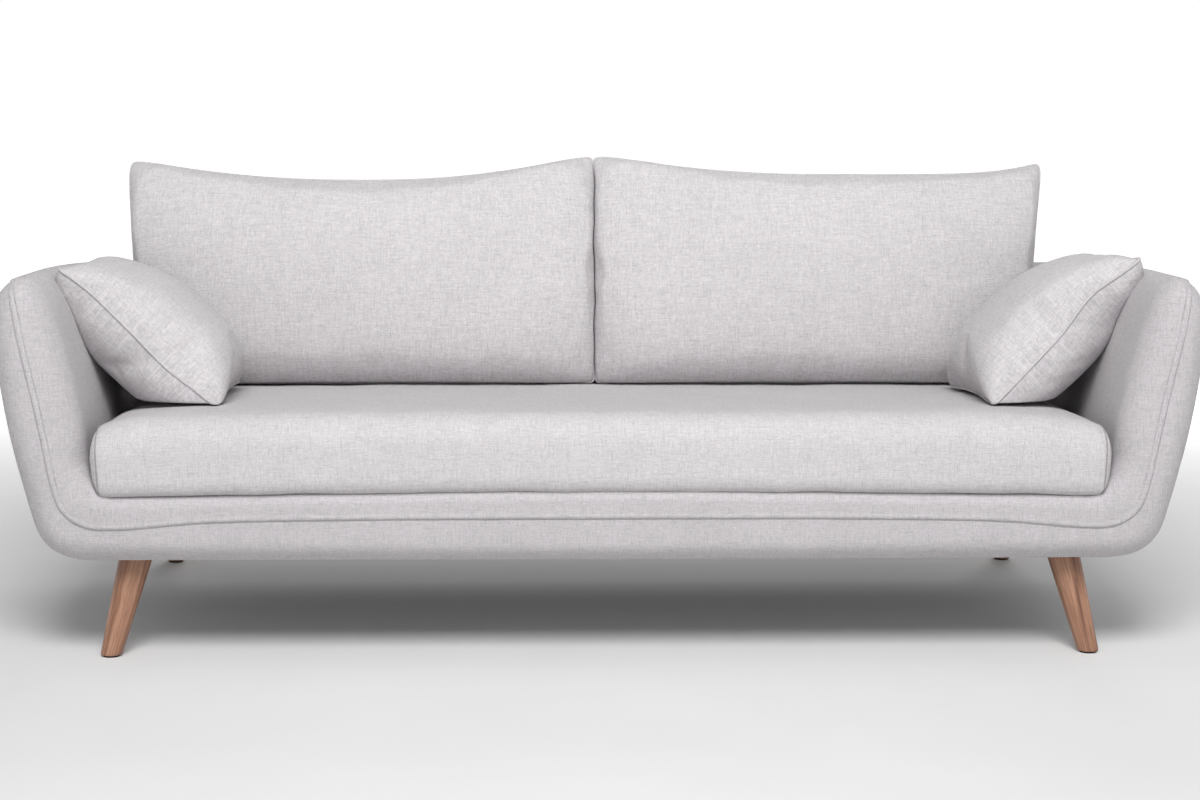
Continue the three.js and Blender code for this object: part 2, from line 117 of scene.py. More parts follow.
# ---- Curves ---------------------------------------------------------------------------------------
def bezier(p0, p1, p2, p3, count=24):
    """A cubic curve from p0 to p3."""
    t = np.linspace(0, 1, count)[:, None]
    p0, p1, p2, p3 = (np.array(p, float) for p in (p0, p1, p2, p3))
    return p0 * (1 - t) ** 3 + 3 * p1 * t * (1 - t) ** 2 + 3 * p2 * t**2 * (1 - t) + p3 * t**3


def spline(points, per_span=16):
    """A centripetal Catmull-Rom curve through the points."""
    points = np.array(points, float)
    padded = np.vstack([2 * points[0] - points[1], points, 2 * points[-1] - points[-2]])
    out = [points[:1]]
    for i in range(1, len(padded) - 2):
        p0, p1, p2, p3 = padded[i - 1 : i + 3]
        t0 = 0.0
        t1 = t0 + np.linalg.norm(p1 - p0) ** 0.5
        t2 = t1 + np.linalg.norm(p2 - p1) ** 0.5
        t3 = t2 + np.linalg.norm(p3 - p2) ** 0.5
        t = np.linspace(t1, t2, per_span + 1)[1:, None]
        a1 = (t1 - t) / (t1 - t0) * p0 + (t - t0) / (t1 - t0) * p1
        a2 = (t2 - t) / (t2 - t1) * p1 + (t - t1) / (t2 - t1) * p2
        a3 = (t3 - t) / (t3 - t2) * p2 + (t - t2) / (t3 - t2) * p3
        b1 = (t2 - t) / (t2 - t0) * a1 + (t - t0) / (t2 - t0) * a2
        b2 = (t3 - t) / (t3 - t1) * a2 + (t - t1) / (t3 - t1) * a3
        out.append((t2 - t) / (t2 - t1) * b1 + (t - t1) / (t2 - t1) * b2)
    return np.vstack(out)


def lengths(points):
    """The distance along the points, from the first."""
    return np.concatenate([[0], np.cumsum(np.linalg.norm(np.diff(points, axis=0), axis=1))])


def resample(points, places):
    """The curve at the given shares of its length."""
    along = lengths(points)
    at = np.asarray(places) * along[-1]
    return np.stack([np.interp(at, along, points[:, k]) for k in range(points.shape[1])], axis=1)


def even(count):
    """Evenly spread places from 0 to 1."""
    return np.linspace(0, 1, count + 1)


def joined(*coordinates):
    """Points from their coordinates, each given for every point or once for a row or column."""
    return np.stack(np.broadcast_arrays(*coordinates), axis=-1)


def ramped(value, low, high):
    """How far a value is on the way from low to high, from 0 to 1."""
    return np.clip((value - low) / (high - low), 0, 1)


def hill(distance, width):
    """A smooth hill, 1 at its middle and all but gone at twice its width."""
    return np.exp(-((distance / width) ** 2))


# ---- Outlines of the shell in X and Z, right half, from the middle of the base to the arm's top ----
def across(inset, z):
    """A point given by its distance inside the widest part of the arms."""
    return (HALF_WIDTH - inset, z)


CREST_START = across(0.053, ARM_TOP)
CREST_END = across(0, ARM_TOP - 0.071)
SIDE_END = across(0.057, BASE_Z + 0.068)
arm_crest = bezier(CREST_START, across(0.024, ARM_TOP), across(0, ARM_TOP - 0.026), CREST_END, 60)
CREST_SPLIT = 0.22  # share of the crest that the inner cover takes before the top seam
seam_top = resample(arm_crest, [CREST_SPLIT])[0]

outer_side = np.vstack(
    [
        resample(arm_crest, np.linspace(CREST_SPLIT, 1, 20)),
        bezier(CREST_END, across(0, ARM_TOP - 0.176), across(0.024, BASE_Z + 0.183), SIDE_END, 40)[1:],
        bezier(SIDE_END, across(0.070, BASE_Z + 0.022), across(0.101, BASE_Z), across(0.156, BASE_Z), 30)[1:],
    ]
)[::-1]
UNDER_X = HALF_WIDTH - 0.181  # the flat underside reaches this far

RIM_END = (0.806, RIM_TOP - 0.005)
ARM_FOOT = (0.868, 0.342)
SHOULDER = (0.910, 0.560)
inner_rim = bezier((0, RIM_TOP + 0.006), (0.4, RIM_TOP + 0.005), (0.7, RIM_TOP - 0.004), RIM_END, 40)
inner_corner = bezier(RIM_END, (0.842, RIM_TOP - 0.005), (0.862, RIM_TOP + 0.018), ARM_FOOT, 24)
inner_arm = spline([ARM_FOOT, (0.872, 0.390), (0.889, 0.480), SHOULDER], 16)
inner_shoulder = bezier(SHOULDER, (0.9195, 0.594), (0.936, ARM_TOP - 0.002), CREST_START, 30)
inner_top = np.vstack([inner_shoulder, resample(arm_crest, np.linspace(0, CREST_SPLIT, 16))[1:]])
arm_inner_line = np.vstack([inner_arm, inner_shoulder[1:]])

SEAM_SPAN = 12  # points of the seam's curve between two of the points that it is drawn through
SEAM_KEYS = (0, 4, 8, 12, 14)  # where the rim, the corner, the arm and the arm's top start, and the end
front_seam = spline(
    [
        (0, 0.2455), (0.2, 0.2455), (0.424, 0.2445), (0.674, 0.2395), (0.800, 0.2290), (0.853, 0.2295),
        (0.880, 0.2390), (0.904, 0.2610), (0.919, 0.3050), (0.932, 0.3750), (0.946, 0.4480),
        (0.9615, 0.5220), (0.970, 0.5650), (0.9775, 0.6120), tuple(seam_top),
    ],
    SEAM_SPAN,
)
seam_parts = [
    front_seam[SEAM_SPAN * first : SEAM_SPAN * last + 1] for first, last in zip(SEAM_KEYS, SEAM_KEYS[1:])
]

# Stations along the shell's wall, the same for both covers; they crowd towards the top seam.
RIM_STATIONS = even(56)
CORNER_STATIONS = even(22)
ARM_STATIONS = even(30)
TOP_STATIONS = 1 - (1 - even(34)) ** 1.7


def half_path(parts):
    """One right-hand path through the four stretches, with a flag for each station's stretch."""
    stations = (RIM_STATIONS, CORNER_STATIONS, ARM_STATIONS, TOP_STATIONS)
    points, stretch = [], []
    for i, (part, places) in enumerate(zip(parts, stations)):
        skip = 0 if i == 0 else 1
        points.append(resample(part, places)[skip:])
        stretch += [i + share for share in places[skip:]]
    return np.vstack(points), np.array(stretch)


seam_half, stretch_half = half_path(seam_parts)
inner_half = half_path([inner_rim, inner_corner, inner_arm, inner_top])[0]


def split_outer():
    """The outer outline cut where its stations face those of the seam."""
    z = outer_side[:, 1]
    turn = np.argmax(z > BASE_Z + 0.125)
    crest = np.argmax(z > ARM_TOP - 0.085)
    bottom = np.array([(0, BASE_Z), (UNDER_X, BASE_Z)])
    corner = np.vstack([(UNDER_X, BASE_Z), outer_side[: turn + 1]])
    return [bottom, corner, outer_side[turn : crest + 1], outer_side[crest:]]


outer_half = half_path(split_outer())[0]


# ---- Meshes ---------------------------------------------------------------------------------------
def new_object(name, data):
    """Adds an object with the given mesh, light or camera to the scene."""
    made = bpy.data.objects.new(name, data)
    bpy.context.scene.collection.objects.link(made)
    return made


def grid_faces(rows, columns, wrap_rows=False, wrap_columns=False):
    """The faces between the points of a grid, which may close on itself either way."""
    faces = []
    for i in range(rows if wrap_rows else rows - 1):
        for j in range(columns if wrap_columns else columns - 1):
            a = i * columns + j
            b = i * columns + (j + 1) % columns
            c = ((i + 1) % rows) * columns + (j + 1) % columns
            d = ((i + 1) % rows) * columns + j
            faces.append((a, b, c, d))
    return faces


def mesh_object(name, points, faces, uv=None):
    """A smooth mesh. Its weave map is in metres: given for each point, or laid along the nearest axes."""
    mesh = bpy.data.meshes.new(name)
    mesh.from_pydata([tuple(p) for p in points], [], faces)
    mesh.validate()
    mesh.polygons.foreach_set("use_smooth", [True] * len(mesh.polygons))
    layer = mesh.uv_layers.new(name="weave")
    vertex = np.empty(len(mesh.loops), int)
    mesh.loops.foreach_get("vertex_index", vertex)
    if uv is None:
        co = np.array(points)[vertex]
        normal = np.empty(len(mesh.polygons) * 3)
        mesh.polygons.foreach_get("normal", normal)
        main = np.abs(normal.reshape(-1, 3)).argmax(axis=1)
        total = np.empty(len(mesh.polygons), int)
        mesh.polygons.foreach_get("loop_total", total)
        main = np.repeat(main, total)
        pair = np.array([(1, 2), (0, 2), (0, 1)])[main]
        flat = np.take_along_axis(co, pair, axis=1)
    else:
        flat = np.array(uv)[vertex]
    layer.data.foreach_set("uv", flat.astype(np.float32).ravel())
    mesh.update()
    return new_object(name, mesh)


def grid_object(name, grid, wrap_rows=False, wrap_columns=False, uv=None):
    """A mesh from a grid of points."""
    rows, columns = grid.shape[:2]
    faces = grid_faces(rows, columns, wrap_rows, wrap_columns)
    flat_uv = None if uv is None else uv.reshape(-1, 2)
    return mesh_object(name, grid.reshape(-1, 3), faces, flat_uv)


def thicken(piece):
    """Gives an open cover the thickness of its cloth, so that its mesh is closed."""
    solid = piece.modifiers.new("cloth_thickness", "SOLIDIFY")
    solid.thickness = SKIN
    solid.offset = -1.0


def set_up(piece, body, slot, material, *nodes):
    """Rides a piece on its body, with its material, in place of the CAD nodes."""
    piece.data.materials.append(material)
    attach(piece, body)
    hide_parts(*nodes)


# The waves of the padding's unevenness: radians per metre along X, Y and Z, and a phase.
PADDING_WAVES = (
    (31.0, 17.0, 43.0, 0.3), (-52.0, 29.0, 21.0, 1.9), (19.0, -61.0, 37.0, 4.1), (73.0, 47.0, -57.0, 2.6),
    (11.0, 23.0, 13.0, 5.2),
)


def undulation(x, y, z, size):
    """A soft unevenness of padding, in metres, from a few long waves."""
    total = np.zeros(np.broadcast(x, y, z).shape)
    for rate_x, rate_y, rate_z, phase in PADDING_WAVES:
        total = total + np.sin(rate_x * x + rate_y * y + rate_z * z + phase)
    return total * size / len(PADDING_WAVES)


# ---- Materials ------------------------------------------------------------------------------------
class Nodes:
    """Builds one material's node tree."""

    def __init__(self, name):
        self.material = bpy.data.materials.new(name)
        self.material.use_nodes = True
        self.tree = self.material.node_tree
        self.shader = self.tree.nodes["Principled BSDF"]

    def add(self, kind, inputs=None, **settings):
        made = self.tree.nodes.new(kind)
        for name, value in settings.items():
            setattr(made, name, value)
        for name, value in (inputs or {}).items():
            self.put(made.inputs[name], value)
        return made

    def put(self, socket, value):
        if isinstance(value, bpy.types.NodeSocket):
            self.tree.links.new(value, socket)
        else:
            socket.default_value = value

    def math(self, operation, a, b=0.0, c=0.0):
        return self.add("ShaderNodeMath", {0: a, 1: b, 2: c}, operation=operation).outputs[0]

    def mix(self, share, a, b, blend="MIX"):
        made = self.add("ShaderNodeMix", data_type="RGBA", blend_type=blend)
        for index, value in ((0, share), (6, a), (7, b)):
            self.put(made.inputs[index], value)
        return made.outputs[2]

    def noise(self, vector, scale, detail=2.0, roughness=0.55, distortion=0.0):
        inputs = {"Vector": vector, "Scale": scale, "Detail": detail}
        inputs |= {"Roughness": roughness, "Distortion": distortion}
        return self.add("ShaderNodeTexNoise", inputs).outputs["Fac"]

    def ramp(self, value, stops):
        made = self.add("ShaderNodeValToRGB", {0: value})
        ramp = made.color_ramp
        for element, stop in zip(ramp.elements, (stops[0], stops[-1])):
            element.position, element.color = stop
        for place, color in stops[1:-1]:
            ramp.elements.new(place).color = color
        return made.outputs[0]

    def spread(self, value, low, high):
        """Rescales a value from low to high into 0 to 1."""
        made = self.add("ShaderNodeMapRange", {0: value, 1: low, 2: high, 3: 0.0, 4: 1.0})
        made.interpolation_type = "SMOOTHSTEP"
        return made.outputs[0]

    def scaled(self, vector, x, y, z=1.0):
        return self.add("ShaderNodeVectorMath", {0: vector, 1: (x, y, z)}, operation="MULTIPLY").outputs[0]

    def object_place(self):
        return self.add("ShaderNodeTexCoord").outputs["Object"]

    def surface(self, color, roughness, height=None, strength=0.5, distance=0.0005):
        """Sets the shader's colour and roughness, and its relief from a height."""
        self.put(self.shader.inputs["Base Color"], color)
        self.put(self.shader.inputs["Roughness"], roughness)
        if height:
            bump = self.add("ShaderNodeBump", {"Strength": strength, "Distance": distance, "Height": height})
            self.put(self.shader.inputs["Normal"], bump.outputs[0])


def grey(value):
    return (value, value, value, 1.0)


def tinted(base, share):
    """A colour made darker or lighter, without going past white."""
    return tuple(min(1.0, c * share) for c in base) + (1.0,)


THREAD_PITCH = 0.0016  # from one thread of the plain weave to the next but one


def fabric(name, base, seed=0.0):
    """Linen-look woven cloth: uneven warp and weft threads, darker slubs along both, and a faint sheen."""
    made = Nodes(name)
    weave = made.add("ShaderNodeUVMap", uv_map="weave").outputs[0]
    shift = (seed, seed * 0.7, seed)
    place = made.add("ShaderNodeVectorMath", {0: weave, 1: shift}, operation="ADD").outputs[0]

    def streaks(along, round_it, depth, detail, roughness=0.55):
        """Noise drawn out along the weft, and the same along the warp."""
        return [
            made.noise(made.scaled(place, x, y, depth), 1.0, detail, roughness)
            for x, y in ((along, round_it), (round_it, along))
        ]

    # Uneven threads in both directions, seen from far as short streaks.
    threads = made.math("ADD", *streaks(26, 520, 1.0, 3.0, 0.6))
    shorts = made.math("ADD", *streaks(120, 760, 1.0, 2.0, 0.6))
    slubs = made.math("MAXIMUM", *[made.spread(noise, 0.57, 0.70) for noise in streaks(40, 420, 3, 1.0)])
    pales = made.math("MAXIMUM", *[made.spread(noise, 0.58, 0.70) for noise in streaks(70, 480, 2, 1.0)])
    cloud = made.noise(made.scaled(place, 7, 7), 1.0, 3.0, 0.6)
    grain = made.noise(made.scaled(place, 640, 640), 1.0, 2.0, 0.7)
    crossed = made.math("ADD", made.math("MULTIPLY", threads, 0.16), made.math("MULTIPLY", shorts, 0.19))
    tone = made.math("ADD", crossed, made.math("MULTIPLY", grain, 0.34))
    body = made.ramp(tone, [(0.38, tinted(base, 0.70)), (0.52, tinted(base, 1)), (0.65, tinted(base, 1.24))])
    colored = made.mix(made.math("MULTIPLY", slubs, 0.20), body, tinted(base, 0.52))
    colored = made.mix(made.math("MULTIPLY", pales, 0.20), colored, tinted(base, 1.45))
    shade = made.mix(1.0, colored, made.ramp(cloud, [(0.3, grey(0.955)), (0.7, grey(1.0))]), "MULTIPLY")

    # The cloth's relief: the plain weave and the raised slubs.
    split = made.add("ShaderNodeSeparateXYZ", {0: place})
    rate = 2 * math.pi / THREAD_PITCH
    warp, weft = (made.math("SINE", made.math("MULTIPLY", split.outputs[i], rate)) for i in (0, 1))
    plain = made.math("MULTIPLY", made.math("MULTIPLY", warp, weft), 0.22)
    height = made.math("ADD", plain, made.math("ADD", threads, made.math("MULTIPLY", slubs, 0.5)))
    roughness = made.add("ShaderNodeMapRange", {0: cloud, 1: 0.3, 2: 0.7, 3: 0.86, 4: 0.96}).outputs[0]
    made.surface(shade, roughness, height, 0.55, 0.0007)
    made.shader.inputs["Sheen Weight"].default_value = 0.12
    made.shader.inputs["Sheen Roughness"].default_value = 0.5
    made.shader.inputs["Specular IOR Level"].default_value = 0.25
    return made.material


def stained_wood(name):
    """Walnut-stained oak in the leg's own map: u round the leg, v along it."""
    made = Nodes(name)
    place = made.add("ShaderNodeUVMap", uv_map="weave").outputs[0]
    bend = made.scaled(made.noise(made.scaled(place, 20, 7), 1.0, 2.0), 0.012, 0.0, 0.0)
    shifted = made.add("ShaderNodeVectorMath", {0: place, 1: bend}, operation="ADD").outputs[0]
    rings = made.noise(made.scaled(shifted, 190, 5.5), 1.0, 4.0, 0.62, 0.6)
    figure = made.noise(made.scaled(shifted, 45, 3.0), 1.0, 2.0, 0.5, 1.2)
    pores = made.spread(made.noise(made.scaled(shifted, 1100, 34), 1.0, 1.0), 0.60, 0.70)
    grain = made.math("ADD", made.math("MULTIPLY", rings, 0.6), made.math("MULTIPLY", figure, 0.4))
    tint = made.ramp(
        grain,
        [(0.34, (0.105, 0.042, 0.024, 1)), (0.46, (0.235, 0.110, 0.064, 1)), (0.56, (0.345, 0.178, 0.108, 1)),
         (0.72, (0.455, 0.260, 0.168, 1))],
    )
    tint = made.mix(made.math("MULTIPLY", pores, 0.55), tint, (0.075, 0.032, 0.020, 1))
    height = made.math("SUBTRACT", made.math("MULTIPLY", rings, 0.5), pores)
    made.surface(tint, made.spread(grain, -0.6, 1.6), height, 0.35, 0.0004)
    made.shader.inputs["Coat Weight"].default_value = 0.12
    made.shader.inputs["Coat Roughness"].default_value = 0.35
    return made.material


def sawn_pine(name):
    """The inner frame's pale, rough timber, with its grain along X."""
    made = Nodes(name)
    grain = made.noise(made.scaled(made.object_place(), 9, 60, 60), 1.0, 4.0, 0.6, 1.0)
    tint = made.ramp(
        grain, [(0.35, (0.36, 0.22, 0.11, 1)), (0.5, (0.55, 0.38, 0.21, 1)), (0.7, (0.66, 0.50, 0.31, 1))]
    )
    made.surface(tint, 0.7, grain, 0.3, 0.0005)
    return made.material


def plated_steel(name):
    """The leg plates' and springs' worn zinc plating."""
    made = Nodes(name)
    wear = made.noise(made.scaled(made.object_place(), 90, 90, 90), 1.0, 3.0)
    made.surface(made.ramp(wear, [(0.3, grey(0.34)), (0.7, grey(0.52))]), made.spread(wear, -0.4, 1.9))
    made.shader.inputs["Metallic"].default_value = 1.0
    return made.material


def black_cloth(name):
    """The thin non-woven cloth under the base: black, with a fine dimpled grid."""
    made = Nodes(name)
    place = made.object_place()
    split = made.add("ShaderNodeSeparateXYZ", {0: place})
    rate = 2 * math.pi / 0.003
    dots = made.math(
        "MULTIPLY", *[made.math("SINE", made.math("MULTIPLY", split.outputs[i], rate)) for i in (0, 1)]
    )
    fibres = made.noise(made.scaled(place, 400, 400, 400), 1.0, 3.0)
    tint = made.ramp(fibres, [(0.3, grey(0.006)), (0.75, grey(0.030))])
    made.surface(tint, 0.92, made.math("ADD", dots, fibres), 0.5, 0.0004)
    return made.material


def brown_felt(name):
    """The glides' dark pressed felt."""
    made = Nodes(name)
    fibres = made.noise(made.scaled(made.object_place(), 900, 900, 900), 1.0, 4.0)
    tint = made.ramp(fibres, [(0.3, (0.016, 0.012, 0.010, 1)), (0.7, (0.06, 0.046, 0.038, 1))])
    made.surface(tint, 1.0, fibres, 0.8, 0.0006)
    return made.material


# The shell's cloth is the cushions' fabric made darker: painted shade for the lower, less lit base and arms.
SHELL_GREY_PAINTED_SHADE = (0.480, 0.460, 0.474)
CUSHION_GREY = (0.540, 0.521, 0.533)
shell_cloth_painted_shade = fabric("shell_fabric", SHELL_GREY_PAINTED_SHADE)
seat_cloth = fabric("seat_fabric", CUSHION_GREY, 3.1)
back_cloth = fabric("back_fabric", CUSHION_GREY, 5.7)
pillow_cloth = fabric("pillow_fabric", CUSHION_GREY, 8.3)
painted_seam_shade_cloth = fabric("painted_seam_shade_fabric", (0.330, 0.315, 0.325), 1.7)  # a darker copy of the cushion fabric for the seat's end welts: painted shade of a drawn-in seam's groove
leg_wood = stained_wood("leg_wood")

# ---- Shell: the front face between the outlines, and the walls behind it ---------------------------
ROUND_REACH = 0.046  # how far in from the outer outline the arms' fronts are rounded
FACE_STEPS = 12  # rows of the face next to the seam, and again round its edge
WALL_ROWS = 34  # rows of the wall behind an outline
FACE_WAVE = 0.0010  # size of the padding's unevenness on the front face
SEAM_DEPTH = 0.0032  # the groove where the two covers meet
SEAM_WIDTH = 0.0015
LAP_WIDTH = 0.0088  # the folded edge beside it, which ends in a line of stitches up the arms
LAP_MIDDLE = 0.0045
LAP_DEPTH = 0.0016
LAP_SWELL = 0.0010
SAG_FROM = 0.40  # the padding sags from this height up


def distances(points, outline):
    """The distance of each point to the nearest point of a dense outline."""
    dense = resample(outline, even(900))
    return np.sqrt(((points[:, None, :] - dense[None, :, :]) ** 2).sum(axis=2).min(axis=1))


def by_stretch(*values):
    """A value for each station: given at the middle, the rim's end, the corner's, the arm's and the top."""
    return np.interp(stretch_half, [0.0, 1.0, 2.0, 3.0, 4.0], values)


# How far in from each outline the front face is rounded, and how far back the rounding reaches.
inner_reach = by_stretch(0.016, 0.022, 0.054, 0.054, 0.042)
inner_depth = by_stretch(0.022, 0.028, 0.054, 0.056, 0.050)
outer_reach = by_stretch(0.036, 0.042, ROUND_REACH, ROUND_REACH, ROUND_REACH)
outer_depth = by_stretch(0.048, 0.052, 0.060, 0.060, 0.066)


def rounding(distance, reach, depth):
    """How far the face lies back at a distance from its outline."""
    share = np.clip(1 - distance / reach, 0, 1)
    return depth * (1 - np.sqrt(np.clip(1 - share**2, 0, 1)))


def section_shares(flat_steps, length=0.078, near_seam=0.012):
    """Shares from the seam to the outline: close together at the seam and round the edge."""
    near = np.linspace(0, near_seam, FACE_STEPS + 1)
    flat = np.linspace(near_seam, length - ROUND_REACH, flat_steps + 1)[1:]
    turn = length - ROUND_REACH * (1 - np.sin(np.linspace(0, math.pi / 2, FACE_STEPS + 1)[1:]))
    return np.concatenate([near, flat, turn]) / length


# The pull lines at the lower corners of the seat opening: where each starts and ends, and its depth.
PULL_LINES = (
    ((-0.866, 0.336), (-0.902, 0.320), 0.0036), ((-0.838, 0.277), (-0.886, 0.266), 0.0032),
    ((-0.852, 0.300), (-0.880, 0.286), 0.0016), ((0.864, 0.352), (0.914, 0.338), 0.0034),
    ((0.838, 0.276), (0.852, 0.252), 0.0032), ((0.857, 0.308), (0.888, 0.292), 0.0020),
)


def creases(x, z, y):
    """The front face's Y with the pull lines drawn in, each between two soft ridges."""
    for start, end, depth in PULL_LINES:
        span_x, span_z = end[0] - start[0], end[1] - start[1]
        from_x, from_z = x - start[0], z - start[1]
        along = np.clip((from_x * span_x + from_z * span_z) / (span_x**2 + span_z**2), 0, 1)
        near = np.hypot(from_x - along * span_x, from_z - along * span_z)
        drawn = hill(near, 0.0032) - 0.45 * hill(near, 0.009)
        y = y + depth * (1 - 0.8 * along) * drawn
    return y


def front_face(edge, depth, shares, lap):
    """Rows of points from the seam to an outline, for each station of the right half, and how far each
    lies back. The inner cover laps over the outer one in a flat double seam."""
    plane = seam_half[:, None, :] + (edge - seam_half)[:, None, :] * shares[None, :, None]
    flat = plane.reshape(-1, 2)
    to_inner = distances(flat, inner_half).reshape(plane.shape[:2])
    to_outer = distances(flat, outer_half).reshape(plane.shape[:2])
    back = np.maximum(
        rounding(to_inner, inner_reach[:, None], inner_depth[:, None]),
        rounding(to_outer, outer_reach[:, None], outer_depth[:, None]),
    )
    back[:, -1] = depth
    from_seam = np.linalg.norm(edge - seam_half, axis=1)[:, None] * shares[None, :]
    fade = np.clip((4.0 - stretch_half[:, None]) / 0.35, 0, 1)
    groove = SEAM_DEPTH * hill(from_seam, SEAM_WIDTH) * np.clip(fade, 0.5, 1)
    if lap:
        up_arm = np.clip((stretch_half[:, None] - 1.6) / 0.8, 0, 1)
        groove = groove + up_arm * fade * LAP_DEPTH * hill(from_seam - LAP_WIDTH, 0.0014)
        groove = groove - LAP_SWELL * fade * hill(from_seam - LAP_MIDDLE, 0.0028)
    return plane, back + groove


def mirror_rows(right):
    """Stations of the right half, with the left half's before them."""
    flip = np.array([-1.0, 1.0, 1.0])
    return np.concatenate([right[:0:-1] * flip, right], axis=0)


def outline_normals(path):
    """Unit normals of a path, which point out of the shell for a path drawn up its outside."""
    tangent = np.gradient(path, axis=0)
    tangent /= np.maximum(np.linalg.norm(tangent, axis=1), 1e-9)[:, None]
    return joined(tangent[:, 1], -tangent[:, 0])


def sink_at_top_seam(path, outward, depth=0.0036, width=0.0045):
    """Draws a path in where it ends at the top seam."""
    from_top = lengths(path[::-1])[::-1]
    return path - outward * (depth * hill(from_top, width))[:, None]


def wall_rows(path, y_start, y_end):
    """Rows of points behind an outline, from y_start to y_end for each station."""
    y = y_start[:, None] + (y_end - y_start)[:, None] * even(WALL_ROWS)[None, 1:]
    return joined(path[:, :1], y, path[:, 1:])


def slump_share(z):
    """How much of the padding's sag a height takes part in."""
    return ramped(z, SAG_FROM, ARM_TOP - CREST_HEIGHT)


def lower(points, fixed_z, full_z):
    """Lowers points towards the back: not at all below fixed_z, fully above full_z."""
    share = ramped(points[..., 2], fixed_z, full_z)
    padding = slump_share(points[..., 2])
    points[..., 2] -= fall(points[..., 1]) * share + sag(points[..., 1]) * padding
    return points


def cover_grid(edge, depth, outward, rear, flat_steps, level, lap):
    """A cover from the front seam over an outline to the rear. Depth is how far the outline lies behind
    the rim's front, outward its normals, rear its last Y, and level the heights that lower() takes."""
    shares = section_shares(flat_steps)
    plane, back = front_face(edge, depth, shares, lap)
    path = sink_at_top_seam(edge, outward)
    front = joined(plane[..., 0], RIM_FRONT + back, plane[..., 1])
    front[:, -1, 0] = path[:, 0]
    front[:, -1, 2] = path[:, 1]
    rows = wall_rows(path, RIM_FRONT + depth, rear(path[:, 1]))
    grid = lower(mirror_rows(np.concatenate([front, rows], axis=1)), *level)
    wave = undulation(grid[..., 0], grid[..., 1] * 0, grid[..., 2], FACE_WAVE)
    if lap:
        grid[..., 1] = creases(grid[..., 0], grid[..., 2], grid[..., 1])
    grid[:, : len(shares), 1] += wave[:, : len(shares)]
    return grid


def inner_rear(z):
    return rear_y(z) - 0.002


def outer_rear(z):
    return np.where(stretch_half < 1.0, RIM_REAR - 0.001, rear_y(z) - 0.001)


def make_inner_cover():
    """The padded lining: the inner part of the front border, the insides of the arms and the deck."""
    outward = -outline_normals(inner_half)
    grid = cover_grid(inner_half, inner_depth, outward, inner_rear, 8, (0.0, 0.001), lap=True)
    cover = grid_object("inner_cover", grid)
    thicken(cover)
    set_up(
        cover, "frame", "shell_fabric", shell_cloth_painted_shade, "front_border_left", "front_border_right",
        "front_border_rail", "arm_pad_left", "arm_pad_right", "seat_deck", "front_welt", "top_welt",
    )


def make_outer_cover():
    """The outer part of the front border, the outsides of the arms and the front's underside."""
    level = (RIM_TOP, ARM_TOP - CREST_HEIGHT)
    outward = outline_normals(outer_half)
    grid = cover_grid(outer_half, outer_depth, outward, outer_rear, 6, level, lap=False)
    cover = grid_object("outer_cover", grid)
    thicken(cover)
    set_up(
        cover, "frame", "shell_fabric", shell_cloth_painted_shade, "front_border_left", "front_border_right",
        "front_border_rail", "outside_arm_left", "outside_arm_right",
    )


make_inner_cover()
make_outer_cover()

# ---- Back: the padded inside, its rolled top, and the outside panel ---------------------------------
BACK_TOP = ARM_TOP - float(fall(REAR_TOP_Y) + sag(REAR_TOP_Y)) - 0.0005
BACK_PAD_DEPTH = 0.105  # from the back's inside face to the rear
BACK_FOOT_Z = 0.255
BACK_ROLL = 0.030  # the inside face ends and rolls over this far below the top
TUCKED = 0.007  # how far the back's cover reaches into the seam beside each arm


def arm_inside_x(z, y):
    """The inside of the arm at a height, where the back meets it."""
    up = np.clip(z + fall(y) + sag(y) * slump_share(z), arm_inner_line[0, 1], ARM_TOP - 0.0005)
    return np.interp(up, arm_inner_line[:, 1], arm_inner_line[:, 0])


def back_face_y(z):
    """The Y of the back's inside face, which has the same lean as the rear."""
    return rear_y(0.0) - BACK_PAD_DEPTH + z * REAR_LEAN


def back_section():
    """The back cover's section in Y and Z, up the inside face and over the top, and how many of its
    points lie on the face and its roll."""
    turn = BACK_TOP - BACK_ROLL
    heights = np.linspace(BACK_FOOT_Z, turn, 16)
    face = joined(back_face_y(heights), heights)
    top_y = back_face_y(BACK_TOP) + 0.032
    roll = (back_face_y(BACK_TOP) + 0.001, BACK_TOP - 0.006)
    over = bezier(face[-1], roll, (top_y - 0.016, BACK_TOP), (top_y, BACK_TOP), 12)
    end_y = rear_y(BACK_TOP - 0.008)
    last_y = end_y - 0.0005
    flat = joined(np.linspace(top_y, end_y - 0.012, 7), BACK_TOP)
    last = (last_y, BACK_TOP - 0.010)
    edge = bezier(flat[-1], (end_y - 0.004, BACK_TOP), (last_y, BACK_TOP - 0.003), last, 8)
    return np.vstack([face, over[1:], flat[1:], edge[1:]]), len(face) + len(over) // 2


def back_cover_grid():
    """The section drawn from arm to arm, sunk in along the seam beside each arm."""
    section, face_points = back_section()
    columns = np.sin(np.linspace(-math.pi / 2, math.pi / 2, 91))
    half = arm_inside_x(section[:, 1], section[:, 0]) + TUCKED
    x = columns[None, :] * half[:, None]
    from_end = np.maximum(0, half[:, None] - TUCKED - np.abs(x))
    sunk = 0.004 * hill(from_end, 0.008)
    on_face = (np.arange(len(section)) < face_points)[:, None]
    y = section[:, :1] + np.where(on_face, sunk - 0.006 * (1 - columns[None, :] ** 4), 0)
    z = section[:, 1:] - np.where(on_face, 0, sunk)
    grid = joined(x, y, z)
    grid[..., 2] += undulation(x, y, z * 0, 0.0008)
    return grid


def make_back_cover():
    """The padded inside of the back and its rolled top."""
    cover = grid_object("back_cover", back_cover_grid()[:, ::-1])
    thicken(cover)
    set_up(cover, "frame", "shell_fabric", shell_cloth_painted_shade, "back_pad")


